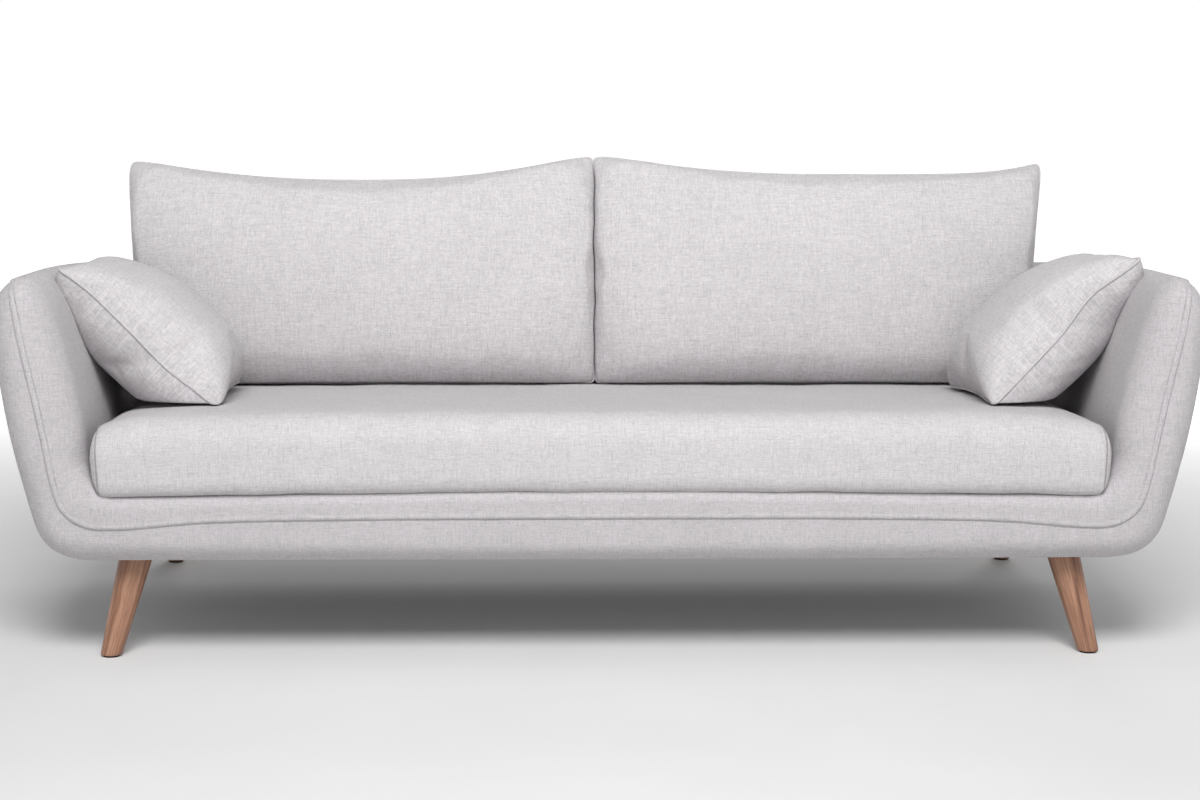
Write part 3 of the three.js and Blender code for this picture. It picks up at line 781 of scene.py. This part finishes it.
def outside_panel_grid():
    """Rows from the bottom to the top, each as wide as the outline there."""
    path = outer_half[stretch_half >= 1.0]
    low_rows = BASE_Z + 0.001 + 0.10 * even(22) ** 1.8
    high_rows = ARM_TOP - 0.03 + 0.0235 * even(8)
    heights = np.unique(np.concatenate([low_rows, np.linspace(0.27, ARM_TOP - 0.03, 22), high_rows]))
    half = np.interp(heights, path[:, 1], path[:, 0]) - 0.0006
    columns = np.sin(np.linspace(-math.pi / 2, math.pi / 2, 121))
    x = columns[None, :] * half[:, None]
    z = heights[:, None]
    share = ramped(z, RIM_TOP, ARM_TOP - CREST_HEIGHT)
    z = z - float(fall(REAR_TOP_Y)) * share - float(sag(REAR_TOP_Y)) * slump_share(z)
    to_side = half[:, None] - np.abs(x)
    edge = np.minimum(np.minimum(to_side, z.max() - z), z - z.min())
    rounded = 0.004 * (1 - np.exp(-edge / 0.05)) - 0.007 * np.exp(-edge / 0.005)
    y = rear_y(z) + rounded + undulation(x, z * 0, z, 0.0008)
    return joined(x, y, z)


def make_outside_back():
    """The panel that closes the rear."""
    panel = grid_object("outside_back_cover", outside_panel_grid())
    thicken(panel)
    set_up(panel, "frame", "shell_fabric", shell_cloth_painted_shade, "outside_back")


make_back_cover()
make_outside_back()


# ---- Seat cushion -----------------------------------------------------------------------------------
SEAT_SEAM_X = seat_high[0] - 0.011
SEAT_END_X = seat_high[0] + 0.0025
SEAT_FLARE = 0.010  # how much further the free front of each end reaches than the part between the arms
SEAT_FREE = 0.085  # the free part goes about this far back
SEAT_PINCH = 0.008  # how far the lower edge of each end is drawn in
SEAT_REAR_DROP = 0.020  # how much thinner the cushion is at the rear, where the sitter's weight falls
SEAT_RADII = (0.011, 0.050, 0.034, 0.022)  # front and low, front and high, rear and high, rear and low
SEAT_COLUMNS = 130
SEAT_ROUND = 96
SEAT_RINGS = 12
SEAT_WAVE = 0.0016
SEAT_WELT = 0.0015


def rounded_section(y0, y1, z0, z1, radii, count):
    """A closed section in Y and Z, anticlockwise from the rear of its underside to the front."""
    front_low, front_high, rear_high, rear_low = radii
    corners = (
        (y0 + front_low, z0 + front_low, front_low, 270, 180),
        (y0 + front_high, z1 - front_high, front_high, 180, 90),
        (y1 - rear_high, z1 - rear_high, rear_high, 90, 0),
        (y1 - rear_low, z0 + rear_low, rear_low, 0, -90),
    )
    points = []
    for centre_y, centre_z, radius, start, end in corners:
        angle = np.radians(np.linspace(start, end, 14))
        points.append(joined(centre_y + radius * np.cos(angle), centre_z + radius * np.sin(angle)))
    loop = np.vstack(points + [points[0][:1]])
    return resample(loop, even(count)[:-1])


def seat_section(x):
    """The section at a distance from the middle, with the ends drawn in at the seams."""
    u = abs(x) / SEAT_SEAM_X
    low = RIM_TOP + 0.0035 - 0.009 * u**3
    high = seat_high[2] - 0.0015 - 0.019 * u**16 - 0.004 * u**4
    tuck = 0.0020 * math.exp(-((SEAT_SEAM_X - abs(x)) / 0.006))
    front = seat_low[1] + 0.002 + 0.005 * u**8 + tuck
    rear = seat_high[1] - 0.003 - tuck
    return rounded_section(front, rear, low + tuck, high - tuck, SEAT_RADII, SEAT_ROUND)


def shape_seat(points):
    """Slopes the cushion with the deck, thins its rear and flares the front of its ends."""
    x, y, z = points[..., 0], points[..., 1], points[..., 2]
    free = hill(y - seat_low[1], SEAT_FREE)
    up = ramped(z, RIM_TOP, seat_high[2])
    at_end = np.sign(x) * np.abs(x / SEAT_END_X) ** 30
    points[..., 0] = x + at_end * (SEAT_FLARE * free - SEAT_PINCH * (1 - up) ** 2)
    points[..., 2] = z - fall(y) - up * SEAT_REAR_DROP * ramped(y, seat_low[1], seat_high[1])
    return points


def seat_top(y):
    """The height of the seat cushion's top near its middle."""
    return seat_high[2] - fall(y) - SEAT_REAR_DROP * ramped(y, seat_low[1], seat_high[1])


def seat_sections():
    """The sections from one end's seam to the other's, closer together towards the seams."""
    columns = SEAT_SEAM_X * np.sin(np.linspace(-1, 1, SEAT_COLUMNS + 1) * 1.35) / math.sin(1.35)
    return [joined(x, *seat_section(x).T) for x in columns]


def seat_end(side):
    """The D-shaped end panel: rings from the seam to the middle line, bulging outwards."""
    seam = seat_section(SEAT_SEAM_X)
    low_y, high_y = seam[:, 0].min() + 0.036, seam[:, 0].max() - 0.036
    spine = joined(np.clip(seam[:, 0], low_y, high_y), seam[:, 1].mean())
    rings = []
    for k in range(1, SEAT_RINGS + 1):
        share = 1 - (1 - k / SEAT_RINGS) ** 1.35
        ring = seam + (spine - seam) * share
        bulge = (SEAT_END_X - SEAT_SEAM_X) * (1 - (1 - share) ** 2) ** 0.7
        rings.append(joined(side * (SEAT_SEAM_X + bulge), *ring.T))
    return rings


def seat_mesh():
    """The cushion's points by section, its faces and its weave map."""
    body = seat_sections()
    grid = np.stack(seat_end(-1)[::-1] + body + seat_end(1))
    wave = undulation(grid[..., 0] * 0.7, grid[..., 1], grid[..., 2] * 0, SEAT_WAVE)
    grid = shape_seat(grid)
    grid[..., 2] += wave
    grid[..., 1] += wave * 0.6
    rows = len(grid)
    faces = grid_faces(rows, SEAT_ROUND, wrap_columns=True)
    # Each end closes along its middle line.
    for row, is_left in ((0, True), (rows - 1, False)):
        for j in range(SEAT_ROUND // 2 - 1):
            first = row * SEAT_ROUND + j
            last = (row + 1) * SEAT_ROUND - 1 - j
            quad = (first, first + 1, last - 1, last)
            faces.append(quad if is_left else quad[::-1])
    middle = body[SEAT_COLUMNS // 2]
    around = lengths(np.vstack([middle, middle[:1]]))[:-1]
    return grid, faces, joined(grid[..., 0], around[None, :])


def welt(name, loop, radius, sides=10):
    """The corded edge of a cushion: a tube round a closed loop of points."""
    closed = np.vstack([loop, loop[:1]])
    count = int(lengths(closed)[-1] / 0.0042)
    path = resample(closed, even(count)[:-1])
    for _ in range(2):
        path = (np.roll(path, 1, axis=0) + 2 * path + np.roll(path, -1, axis=0)) / 4
    tangent = np.roll(path, -1, axis=0) - np.roll(path, 1, axis=0)
    tangent /= np.linalg.norm(tangent, axis=1)[:, None]
    out = path - path.mean(axis=0)
    out -= tangent * (out * tangent).sum(axis=1)[:, None]
    out /= np.linalg.norm(out, axis=1)[:, None]
    across_tube = np.cross(tangent, out)
    angle = np.linspace(0, 2 * math.pi, sides, endpoint=False)[None, :, None]
    offset = np.cos(angle) * out[:, None, :] + np.sin(angle) * across_tube[:, None, :]
    ring = path[:, None, :] + radius * offset
    uv = joined(lengths(path)[:, None], np.arange(sides)[None, :] * radius * 0.6)
    return grid_object(name, ring, wrap_rows=True, wrap_columns=True, uv=uv)


def make_seat_cushion():
    """The bench cushion, and the seam round each of its ends."""
    points, faces, uv = seat_mesh()
    cover = mesh_object("seat_cushion_cover", points.reshape(-1, 3), faces, uv.reshape(-1, 2))
    set_up(cover, "seat_cushion", "cushion_fabric", seat_cloth, "seat_cushion")
    for row, label in ((SEAT_RINGS, "left"), (SEAT_RINGS + SEAT_COLUMNS, "right")):
        corded = welt(f"seat_welt_{label}", points[row], SEAT_WELT)
        # The welt takes the darker cloth, which paints the shade of the seam's groove as a thin dark line.
        set_up(corded, "seat_cushion", "cushion_fabric", painted_seam_shade_cloth, "seat_cushion")


make_seat_cushion()


# ---- Knife-edged cushions ----------------------------------------------------------------------------
def crowded(count):
    """Places from -1 to 1, closer together towards both ends."""
    t = np.linspace(-1, 1, count + 1)
    return t * (1.3 - 0.3 * t**2)


def knife_cushion(name, plan, front, rear, cells):
    """A cushion of two panels that meet in a seam all round, flat in X and Y before it is placed.
    plan gives X and Y from the shares u and v (-1 to 1), and front and rear the panels' heights."""
    nx, ny = cells
    u, v = np.meshgrid(crowded(nx), crowded(ny))
    x, y = plan(u, v)
    points = joined(x, y, front(u, v)).reshape(-1, 3)
    inside = joined(x, y, -rear(u, v))[1:-1, 1:-1].reshape(-1, 3)
    index = np.arange((ny + 1) * (nx + 1)).reshape(ny + 1, nx + 1)
    other = index.copy()
    other[1:-1, 1:-1] = len(points) + np.arange(len(inside)).reshape(ny - 1, nx - 1)
    faces = []
    for i in range(ny):
        for j in range(nx):
            faces.append((index[i, j], index[i, j + 1], index[i + 1, j + 1], index[i + 1, j]))
            faces.append((other[i, j], other[i + 1, j], other[i + 1, j + 1], other[i, j + 1]))
    points = np.vstack([points, inside])
    made = mesh_object(name, points, [tuple(int(i) for i in face) for face in faces], points[:, :2])
    return made, index, other


def seam_of(index):
    """The points of a cushion's seam, in order, once round."""
    return np.concatenate([index[0, :-1], index[:-1, -1], index[-1, :0:-1], index[:0:-1, 0]])


def read_points(piece):
    """The piece's points, as an array."""
    co = np.empty(len(piece.data.vertices) * 3)
    piece.data.vertices.foreach_get("co", co)
    return co.reshape(-1, 3)


def write_points(piece, points):
    piece.data.vertices.foreach_set("co", np.ascontiguousarray(points).ravel())
    piece.data.update()


def placed(points, matrix):
    """The points turned and moved by a matrix."""
    array = np.array(matrix)
    return points @ array[:3, :3].T + array[:3, 3]


def smoothed(line, rounds=40):
    """A row of offsets with its short waves taken out and its ends kept."""
    for _ in range(rounds):
        line = np.vstack([line[:1], (line[:-2] + 2 * line[1:-1] + line[2:]) / 4, line[-1:]])
    return line


EDGE_CALM = 0.92  # share of the seam's short waves that is taken out again
EDGE_ROWS = 8  # rows next to the seam that go with it


def keep_outline(start, filled, index, other):
    """Brings the seam back to its outline after the filling, and carries the panels with it. A little of
    the seam's short waves stays."""
    gone = start - filled
    low, high = smoothed(gone[index[0]]), smoothed(gone[index[-1]])
    left, right = smoothed(gone[index[:, 0]]), smoothed(gone[index[:, -1]])
    rows, columns = index.shape
    s = np.linspace(0, 1, columns)[None, :, None]
    t = np.linspace(0, 1, rows)[:, None, None]
    carried = (1 - t) * low[None] + t * high[None] + (1 - s) * left[:, None] + s * right[:, None]
    carried = carried - (
        (1 - s) * (1 - t) * low[0] + s * (1 - t) * low[-1] + (1 - s) * t * high[0] + s * t * high[-1]
    )
    filled = filled.copy()
    filled[index] += carried
    filled[other[1:-1, 1:-1]] += carried[1:-1, 1:-1]
    left_over = (start - filled) * EDGE_CALM
    inside = slice(1, -1)
    sides = ((index, other), (index[::-1], other[::-1]), (index.T, other.T), (index.T[::-1], other.T[::-1]))
    for side_index, side_other in sides:
        for depth in range(EDGE_ROWS):
            offset = left_over[side_index[0, inside]] * (1 - depth / EDGE_ROWS)
            filled[side_index[depth, inside]] += offset
            if depth:
                filled[side_other[depth, inside]] += offset
    return filled


CALM_ROUNDS = 60


def calmed(move, index, other, kept):
    """Softens the creases that the filling made, keeping a share of them."""
    out = move.copy()
    for panel in (index, other):
        field = move[panel]
        soft = field.copy()
        for _ in range(CALM_ROUNDS):
            soft[1:-1, 1:-1] = (
                soft[:-2, 1:-1] + soft[2:, 1:-1] + soft[1:-1, :-2] + soft[1:-1, 2:] + 4 * soft[1:-1, 1:-1]
            ) / 8
        out[panel] = soft + kept * (field - soft)
    return out


FILLING_FRAMES = 20
FILLING_PRESSURE = 4.0
SEAM_GATHER = 0.015  # share by which the cloth is drawn up at the seam
GATHER_REACH = 0.020


def inflate(piece, index, other, cap, kept):
    """Fills a cushion by cloth simulation: its seam is gathered a little and air pushes its panels out.
    A share of the creases is kept. No point moves further than the cap."""
    start = read_points(piece)
    edge = seam_of(index)
    group = piece.vertex_groups.new(name="seam")
    near = np.sqrt(((start[:, None, :] - start[None, edge[::3], :]) ** 2).sum(axis=2)).min(axis=1)
    for weight in np.linspace(0.1, 1.0, 10):
        ring = np.flatnonzero(np.abs(np.exp(-near / GATHER_REACH) - weight) <= 0.05)
        group.add([int(i) for i in ring], float(weight), "REPLACE")
    cloth = piece.modifiers.new("filling", "CLOTH")
    settings = cloth.settings
    settings.quality = 5
    settings.mass = 0.35
    settings.tension_stiffness = 18
    settings.compression_stiffness = 14
    settings.shear_stiffness = 6
    settings.bending_stiffness = 0.25
    settings.use_pressure = True
    settings.uniform_pressure_force = FILLING_PRESSURE
    settings.vertex_group_shrink = "seam"
    settings.shrink_min = 0.0
    settings.shrink_max = SEAM_GATHER
    settings.effector_weights.gravity = 0
    cloth.collision_settings.use_collision = False
    cloth.collision_settings.use_self_collision = False
    scene = bpy.context.scene
    cloth.point_cache.frame_start = 1
    cloth.point_cache.frame_end = FILLING_FRAMES
    for number in range(1, FILLING_FRAMES + 1):
        scene.frame_set(number)
    shown = piece.evaluated_get(bpy.context.evaluated_depsgraph_get())
    filled = np.empty(len(start) * 3)
    shown.data.vertices.foreach_get("co", filled)
    piece.modifiers.remove(cloth)
    piece.vertex_groups.clear()
    scene.frame_set(1)
    move = keep_outline(start, filled.reshape(-1, 3), index, other) - start
    move = calmed(move, index, other, kept)
    far = np.linalg.norm(move, axis=1)
    move *= (np.minimum(far, cap) / np.maximum(far, 1e-9))[:, None]
    write_points(piece, start + move)


def finish_cushion(piece, edge):
    """One subdivision that keeps the seam sharp."""
    mesh = piece.data
    on_edge = np.zeros(len(mesh.vertices), bool)
    on_edge[edge] = True
    ends = np.empty(len(mesh.edges) * 2, int)
    mesh.edges.foreach_get("vertices", ends)
    crease = on_edge[ends.reshape(-1, 2)].all(axis=1).astype(np.float32)
    layer = mesh.attributes.new("crease_edge", "FLOAT", "EDGE")
    layer.data.foreach_set("value", crease)
    smooth = piece.modifiers.new("smooth", "SUBSURF")
    smooth.levels = 1
    smooth.render_levels = 1


def flank(share, power, exponent):
    """How full a panel is at a share of the way from its middle to its seam."""
    return np.clip(1 - np.abs(share) ** power, 0, 1) ** exponent


BACK_LEAN = math.radians(14.5)
back_height = (back_high[2] - back_low[2]) / math.cos(BACK_LEAN)
back_mid_y = 0.180 + back_height / 2 * math.sin(BACK_LEAN)
CORNER_DRAW = 0.009  # how far the rounded corners stop short of square ones
BACK_FRONT = 0.074  # how far the panels bulge out of the plane of the seam
BACK_REAR = 0.066
BACK_SLANT = 0.018  # how much further out the outer edge is at the top than halfway up
BACK_FILLING = 0.018  # the filling moves no point further than this
BACK_WELT = 0.0021
PRESSED = 0.009  # how much the two cushions flatten where they press on each other
SUNK = 0.024  # how much they flatten where they stand on the seat
SUNK_HEIGHT = 0.15  # and up to which height
PRESSED_REACH = 0.035
CONTACT_GAP = 0.0015  # between a cushion and what it stands on
HELD_HEIGHT = 0.17  # the seat's hold on the filling fades out at this height above the foot


def meeting_line(z):
    """The X of the line along which the two back cushions meet."""
    return 0.0016 * np.sin(34 * z + 1.1) + 0.0011 * np.sin(83 * z + 0.4)


def press(points, side):
    """Flattens a back cushion against the seat, the back and the other cushion."""
    x, y, z = points.T
    above = z - seat_top(y)
    z = z - SUNK * np.clip(1 - above / SUNK_HEIGHT, 0, 1) ** 1.6
    z = np.maximum(z, seat_top(y) + CONTACT_GAP)
    beside = side * (x - meeting_line(z))
    beside = np.maximum(beside - PRESSED * np.exp(-np.maximum(beside, 0) / PRESSED_REACH), 0.0006)
    y = np.minimum(y, rear_y(z) - BACK_PAD_DEPTH - 0.002)
    return joined(meeting_line(z) + side * beside, y, z)


def make_back_cushion(label, side, edges, dip, outer_bulge, ear):
    """edges are the X of the inner edge at the top and bottom and the X of the outer edge, in metres. The
    top dips between its corners, and the outer corner is the sharper the higher ear is."""
    inner_top_x, inner_low_x, outer_x = edges
    half_height = back_height / 2

    def plan(u, v):
        inner = np.where(side * u < 0, np.abs(u), 0.0)
        middle_inner = (inner_top_x + inner_low_x) / 2 + (inner_top_x - inner_low_x) / 2 * v
        outer_edge = side * (outer_x + BACK_SLANT * v + outer_bulge * (1 - v**2))
        near, far = (middle_inner, outer_edge) if side > 0 else (outer_edge, middle_inner)
        x = near + (far - near) * (u + 1) / 2
        rise = np.where(side * u > 0, np.abs(u) ** ear, np.abs(u) ** 2.3)
        top = (1 - rise) * dip - 0.011 * inner**2
        y = v * half_height - np.where(v > 0, top * v**2, 0.004 * (1 - u**2) * -(v**2))
        corner = CORNER_DRAW * (np.abs(u) * np.abs(v)) ** 12
        return x - np.sign(u) * corner, y - np.sign(v) * corner

    def front(u, v):
        low = flank(v, 7.0, 0.5) * (1 - 0.06 * v)
        high = flank(v, 2.2, 0.56)
        across_face = np.where(side * u < 0, flank(u, 6.0, 0.46), flank(u, 3.2, 0.46))
        return BACK_FRONT * across_face * np.where(v < 0, low, high)

    def rear(u, v):
        return BACK_REAR * flank(u, 2.6, 0.50) * np.where(v < 0, flank(v, 3.5, 0.5), flank(v, 2.2, 0.56))

    cushion, index, other = knife_cushion(f"back_cushion_{label}_cover", plan, front, rear, (98, 54))
    edge = seam_of(index)
    middle = Matrix.Translation((0, back_mid_y, (back_low[2] + back_high[2]) / 2))
    stand = middle @ Matrix.Rotation(math.pi / 2 - BACK_LEAN, 4, "X")
    write_points(cushion, placed(read_points(cushion), stand))
    flat = read_points(cushion)
    inflate(cushion, index, other, BACK_FILLING, kept=0.22)
    # The foot of the cushion is held by the seat, so that it fills out less.
    held = np.clip((flat[:, 2] - back_low[2]) / HELD_HEIGHT, 0.1, 1)[:, None]
    points = press(flat + (read_points(cushion) - flat) * held, side)
    write_points(cushion, points)
    finish_cushion(cushion, edge)
    corded = welt(f"back_cushion_{label}_welt", points[edge], BACK_WELT)
    for piece in (cushion, corded):
        set_up(piece, f"back_cushion_{label}", "cushion_fabric", back_cloth, f"back_cushion_{label}")


make_back_cushion("left", -1, (-0.0028, -0.0022, 0.873), dip=0.044, outer_bulge=0.004, ear=2.3)
make_back_cushion("right", 1, (0.0020, 0.0034, 0.853), dip=0.031, outer_bulge=-0.006, ear=6.0)

PILLOW_SIZE = 0.369
PILLOW_ROOM_SIDE = 0.073  # how far the panels bulge out of the plane of the seam
PILLOW_ARM_SIDE = 0.090
PILLOW_DRAW = 0.016  # how far the sides are drawn in, halfway between the corners
PILLOW_FILLING = 0.014
PILLOW_WELT = 0.0026
BEND_LENGTH = 0.33  # half length of a wave of the front seam, as a share of half the pillow
pillow_mid_y = (pillow_low[1] + pillow_high[1]) / 2


def make_pillow(label, side, tilt, middle_x, middle_z, spin, rear_tuck, slump, bends):
    """A square pillow that leans on the arm, turned in its own plane by spin. At the rear,
    rear_tuck draws in the lower corner and slump the upper one. The bends are the places, from -1
    at the seat to 1 at the top, and the sizes of the front seam's waves."""
    half = PILLOW_SIZE / 2

    def plan(u, v):
        drawn_x = PILLOW_DRAW * (1 - v**2) * np.abs(u) ** 2
        drawn_y = PILLOW_DRAW * (1 - u**2) * np.abs(v) ** 2
        corner = 0.004 * (np.abs(u) * np.abs(v)) ** 12
        tucked = rear_tuck * np.clip(-side * u, 0, 1) * np.clip(v, 0, 1) ** 2
        slumped = slump * np.clip(side * u, 0, 1) * np.clip(v, 0, 1) ** 2
        x = u * half - np.sign(u) * (drawn_x + corner) + side * (tucked - slumped)
        return x, v * half - np.sign(v) * (drawn_y + corner) - 4 * tucked

    def seam_bend(u, v):
        total = 0.0 * u
        for bend_place, bend_size in bends:
            total = total + bend_size * hill(side * u - bend_place, BEND_LENGTH)
        return total * np.clip(-v, 0, 1) ** 2

    def room_side(u, v):
        up_slope = np.where(side * u < 0, flank(u, 4.4, 0.45), flank(u, 1.6, 0.85))
        return PILLOW_ROOM_SIDE * up_slope * flank(v, 3.0, 0.44) + seam_bend(u, v)

    def arm_side(u, v):
        up_slope = np.where(side * u < 0, flank(u, 3.6, 0.44), flank(u, 2.6, 0.46))
        return PILLOW_ARM_SIDE * up_slope * flank(v, 3.0, 0.44) - seam_bend(u, v)

    pillow, index, other = knife_cushion(f"pillow_{label}_cover", plan, room_side, arm_side, (50, 50))
    edge = seam_of(index)
    lie = Matrix.Translation((side * middle_x, pillow_mid_y, middle_z))
    lie = lie @ Matrix.Rotation(-side * math.radians(tilt), 4, "Y")
    lie = lie @ Matrix.Rotation(math.radians(spin), 4, "Z")
    write_points(pillow, placed(read_points(pillow), lie))
    inflate(pillow, index, other, PILLOW_FILLING, kept=0.6)
    points = read_points(pillow)
    # The pillow flattens against the arm up to where it stands above the arm's top.
    over = np.clip((points[:, 2] - (ARM_TOP - 0.045)) / 0.03, 0, 1)
    limit = arm_inside_x(points[:, 2], points[:, 1]) - 0.003 + over * 0.2
    points[:, 0] = side * np.minimum(side * points[:, 0], limit)
    points[:, 2] = np.maximum(points[:, 2], seat_top(points[:, 1]) + CONTACT_GAP)
    write_points(pillow, points)
    finish_cushion(pillow, edge)
    corded = welt(f"pillow_{label}_welt", points[edge], PILLOW_WELT)
    for piece in (pillow, corded):
        set_up(piece, f"pillow_{label}", "cushion_fabric", pillow_cloth, f"pillow_{label}")


make_pillow(
    "left", -1, tilt=42.0, middle_x=0.795, middle_z=0.526, spin=0.0, rear_tuck=0.007, slump=0.040,
    bends=((0.65, 0.006), (-0.35, -0.007)),
)
make_pillow(
    "right", 1, tilt=45.0, middle_x=0.800, middle_z=0.530, spin=3.6, rear_tuck=0.004, slump=0.056,
    bends=((0.42, 0.014),),
)


# ---- Legs -----------------------------------------------------------------------------------------
LEG_TOP_RADIUS = 0.0285
LEG_FOOT_RADIUS = 0.0175
LEG_ROWS = 56
LEG_ROUND = 72


def box_middle(node):
    low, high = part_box(node)
    return (low[0] + high[0]) / 2, (low[1] + high[1]) / 2


def make_leg(place):
    """A turned, raked leg from its glide to its plate, with a small bevel round the foot. Its sections
    stay level, so that the ends meet the base and the floor squarely."""
    low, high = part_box(f"leg_{place}")
    foot = Vector((*box_middle(f"glide_{place}"), low[2]))
    top = Vector((*box_middle(f"leg_plate_{place}"), high[2]))
    shares = np.concatenate([[0, 0, 0.004, 0.010], np.linspace(0.02, 1, LEG_ROWS)])
    trims = np.concatenate([[1.0, 0.055, 0.022, 0.006], np.zeros(LEG_ROWS)])
    angle = np.linspace(0, 2 * math.pi, LEG_ROUND, endpoint=False)
    rows = []
    for share, trim in zip(shares, trims):
        centre = foot.lerp(top, share)
        radius = (LEG_FOOT_RADIUS + (LEG_TOP_RADIUS - LEG_FOOT_RADIUS) * share**0.92) * (1 - trim)
        x = centre.x + radius * 1.03 * np.cos(angle)
        y = centre.y + radius * 1.01 * np.sin(angle)
        rows.append(joined(x, y, centre.z))
    rows.append(rows[-1] * 0 + np.array(tuple(top)))
    # Each leg has its own stretch of the grain.
    start = (0.3 if low[0] > 0 else 0.0) + (0.9 if low[1] > 0 else 0.0)
    uv = joined((angle * 0.025 + start)[None, :], np.linspace(0, 0.18, len(rows))[:, None])
    leg = grid_object(f"wooden_leg_{place}", np.stack(rows), wrap_columns=True, uv=uv)
    set_up(leg, "frame", "leg_wood", leg_wood, f"leg_{place}")


for leg_place in ("front_left", "front_right", "rear_left", "rear_right"):
    make_leg(leg_place)

# ---- CAD nodes that stay ---------------------------------------------------------------------------
KEPT = {
    "frame_wood": sawn_pine("frame_wood"),
    "steel": plated_steel("steel"),
    "dust_cloth": black_cloth("dust_cloth"),
    "felt": brown_felt("felt"),
}


def dress_kept_nodes():
    """Gives the CAD nodes that stay visible the material of their slot."""
    for entry in frame["record"]["subparts"]:
        kept_material = KEPT.get(entry["material_slot"])
        if kept_material:
            kept_node = bpy.data.objects[entry["node"]]
            kept_node.data.materials.clear()
            kept_node.data.materials.append(kept_material)


dress_kept_nodes()

# ---- Stage, light and camera ------------------------------------------------------------------------
FLOOR_RADII = (0.3, 1.0, 3.0, 8.0, 20.0, 40.0)
FLOOR_ROUND = 64
GLOW_FROM = 1.3  # the floor starts to glow at this distance from the middle, so that it fades to white
GLOW_FULL = 3.8
FAR_GLOW = 0.92
NEAR_GLOW = 0.05  # and it glows this much under the sofa, which softens the shadow there


def make_stage():
    """A round floor that reaches past every view. It glows softly away from the sofa."""
    made = Nodes("stage_white")
    place = made.object_place()
    mottle = made.noise(made.scaled(place, 3, 3, 3), 1.0, 2.0)
    made.surface(made.ramp(mottle, [(0.3, grey(0.70)), (0.7, grey(0.72))]), 0.9)
    made.shader.inputs["Emission Color"].default_value = (1, 1, 1, 1)
    away = made.add("ShaderNodeVectorMath", {0: place}, operation="LENGTH").outputs["Value"]
    further = made.math("MULTIPLY", made.spread(away, GLOW_FROM, GLOW_FULL), FAR_GLOW - NEAR_GLOW)
    made.put(made.shader.inputs["Emission Strength"], made.math("ADD", further, NEAR_GLOW))
    made.material.cycles.emission_sampling = "NONE"
    angle = np.linspace(0, 2 * math.pi, FLOOR_ROUND, endpoint=False)
    x, y = np.outer(FLOOR_RADII, np.cos(angle)), np.outer(FLOOR_RADII, np.sin(angle))
    faces = grid_faces(*x.shape, wrap_columns=True) + [tuple(range(FLOOR_ROUND - 1, -1, -1))]
    floor = mesh_object("floor", joined(x, y, 0.0).reshape(-1, 3), faces)
    floor.data.materials.append(made.material)


def area_light(name, place, target, size, power, spread=180):
    """A rectangular light of the given watts that faces its target."""
    data = bpy.data.lights.new(name, "AREA")
    data.shape = "RECTANGLE"
    data.size, data.size_y = size
    data.energy = power
    data.spread = math.radians(spread)
    lamp = new_object(name, data)
    lamp.location = place
    lamp.rotation_euler = (Vector(target) - Vector(place)).to_track_quat("-Z", "Y").to_euler()


def make_lights():
    """Soft panels above the front, at the front right and behind."""
    area_light("key", (-0.1, -3.6, 4.3), (0, 0, 0.5), (2.6, 2.2), 79, spread=95)
    area_light("fill", (2.6, -4.6, 2.6), (0, 0, 0.6), (2.8, 1.8), 26)
    area_light("rear", (1.2, 5.0, 3.6), (0, 0.3, 0.4), (4.0, 2.0), 85)


SKY = 0.25  # brightness of the studio above the horizon, which is itself white


def make_world():
    """The studio round the stage, white at the horizon and dimmer above."""
    world = bpy.data.worlds.new("studio")
    bpy.context.scene.world = world
    world.use_nodes = True
    tree = world.node_tree
    background = tree.nodes["Background"]
    direction = tree.nodes.new("ShaderNodeTexCoord")
    split = tree.nodes.new("ShaderNodeSeparateXYZ")
    ramp = tree.nodes.new("ShaderNodeValToRGB")
    tree.links.new(direction.outputs["Generated"], split.inputs[0])
    tree.links.new(split.outputs[2], ramp.inputs[0])
    tree.links.new(ramp.outputs[0], background.inputs[0])
    for element, place, color in zip(ramp.color_ramp.elements, (0.05, 0.22), (grey(1.0), grey(SKY))):
        element.position = place
        element.color = color


CAMERA_DISTANCE = 3.9  # in front of the sofa's front
CAMERA_HEIGHT = 1.021
CAMERA_YAW = math.radians(1.8)
CAMERA_PITCH = math.radians(8.37)
CAMERA_ROLL = math.radians(0.2)
CAMERA_LENS = 71.34
CAMERA_ASIDE = -0.008  # the camera's aim passes this far beside the middle of the sofa's front


def make_camera():
    """The camera in front of the sofa, which looks slightly down on it."""
    data = bpy.data.cameras.new("camera")
    data.sensor_width = 36.0
    data.lens = CAMERA_LENS
    camera = new_object("camera", data)
    yaw, pitch, roll = CAMERA_YAW, CAMERA_PITCH, CAMERA_ROLL
    ahead = Vector((math.sin(yaw) * math.cos(pitch), math.cos(yaw) * math.cos(pitch), -math.sin(pitch)))
    level = Vector((math.cos(yaw), -math.sin(yaw), 0))
    above = level.cross(ahead)
    right = level * math.cos(roll) + above * math.sin(roll)
    up = above * math.cos(roll) - level * math.sin(roll)
    turn = Matrix((right, up, -ahead)).transposed().to_4x4()
    aside = CAMERA_ASIDE - CAMERA_DISTANCE * math.tan(yaw)
    turn.translation = Vector((aside, cad_box[0][1] - CAMERA_DISTANCE, CAMERA_HEIGHT))
    camera.matrix_world = turn
    bpy.context.scene.camera = camera


make_stage()
make_lights()
make_world()
make_camera()
bpy.context.scene.view_settings.view_transform = "Standard"
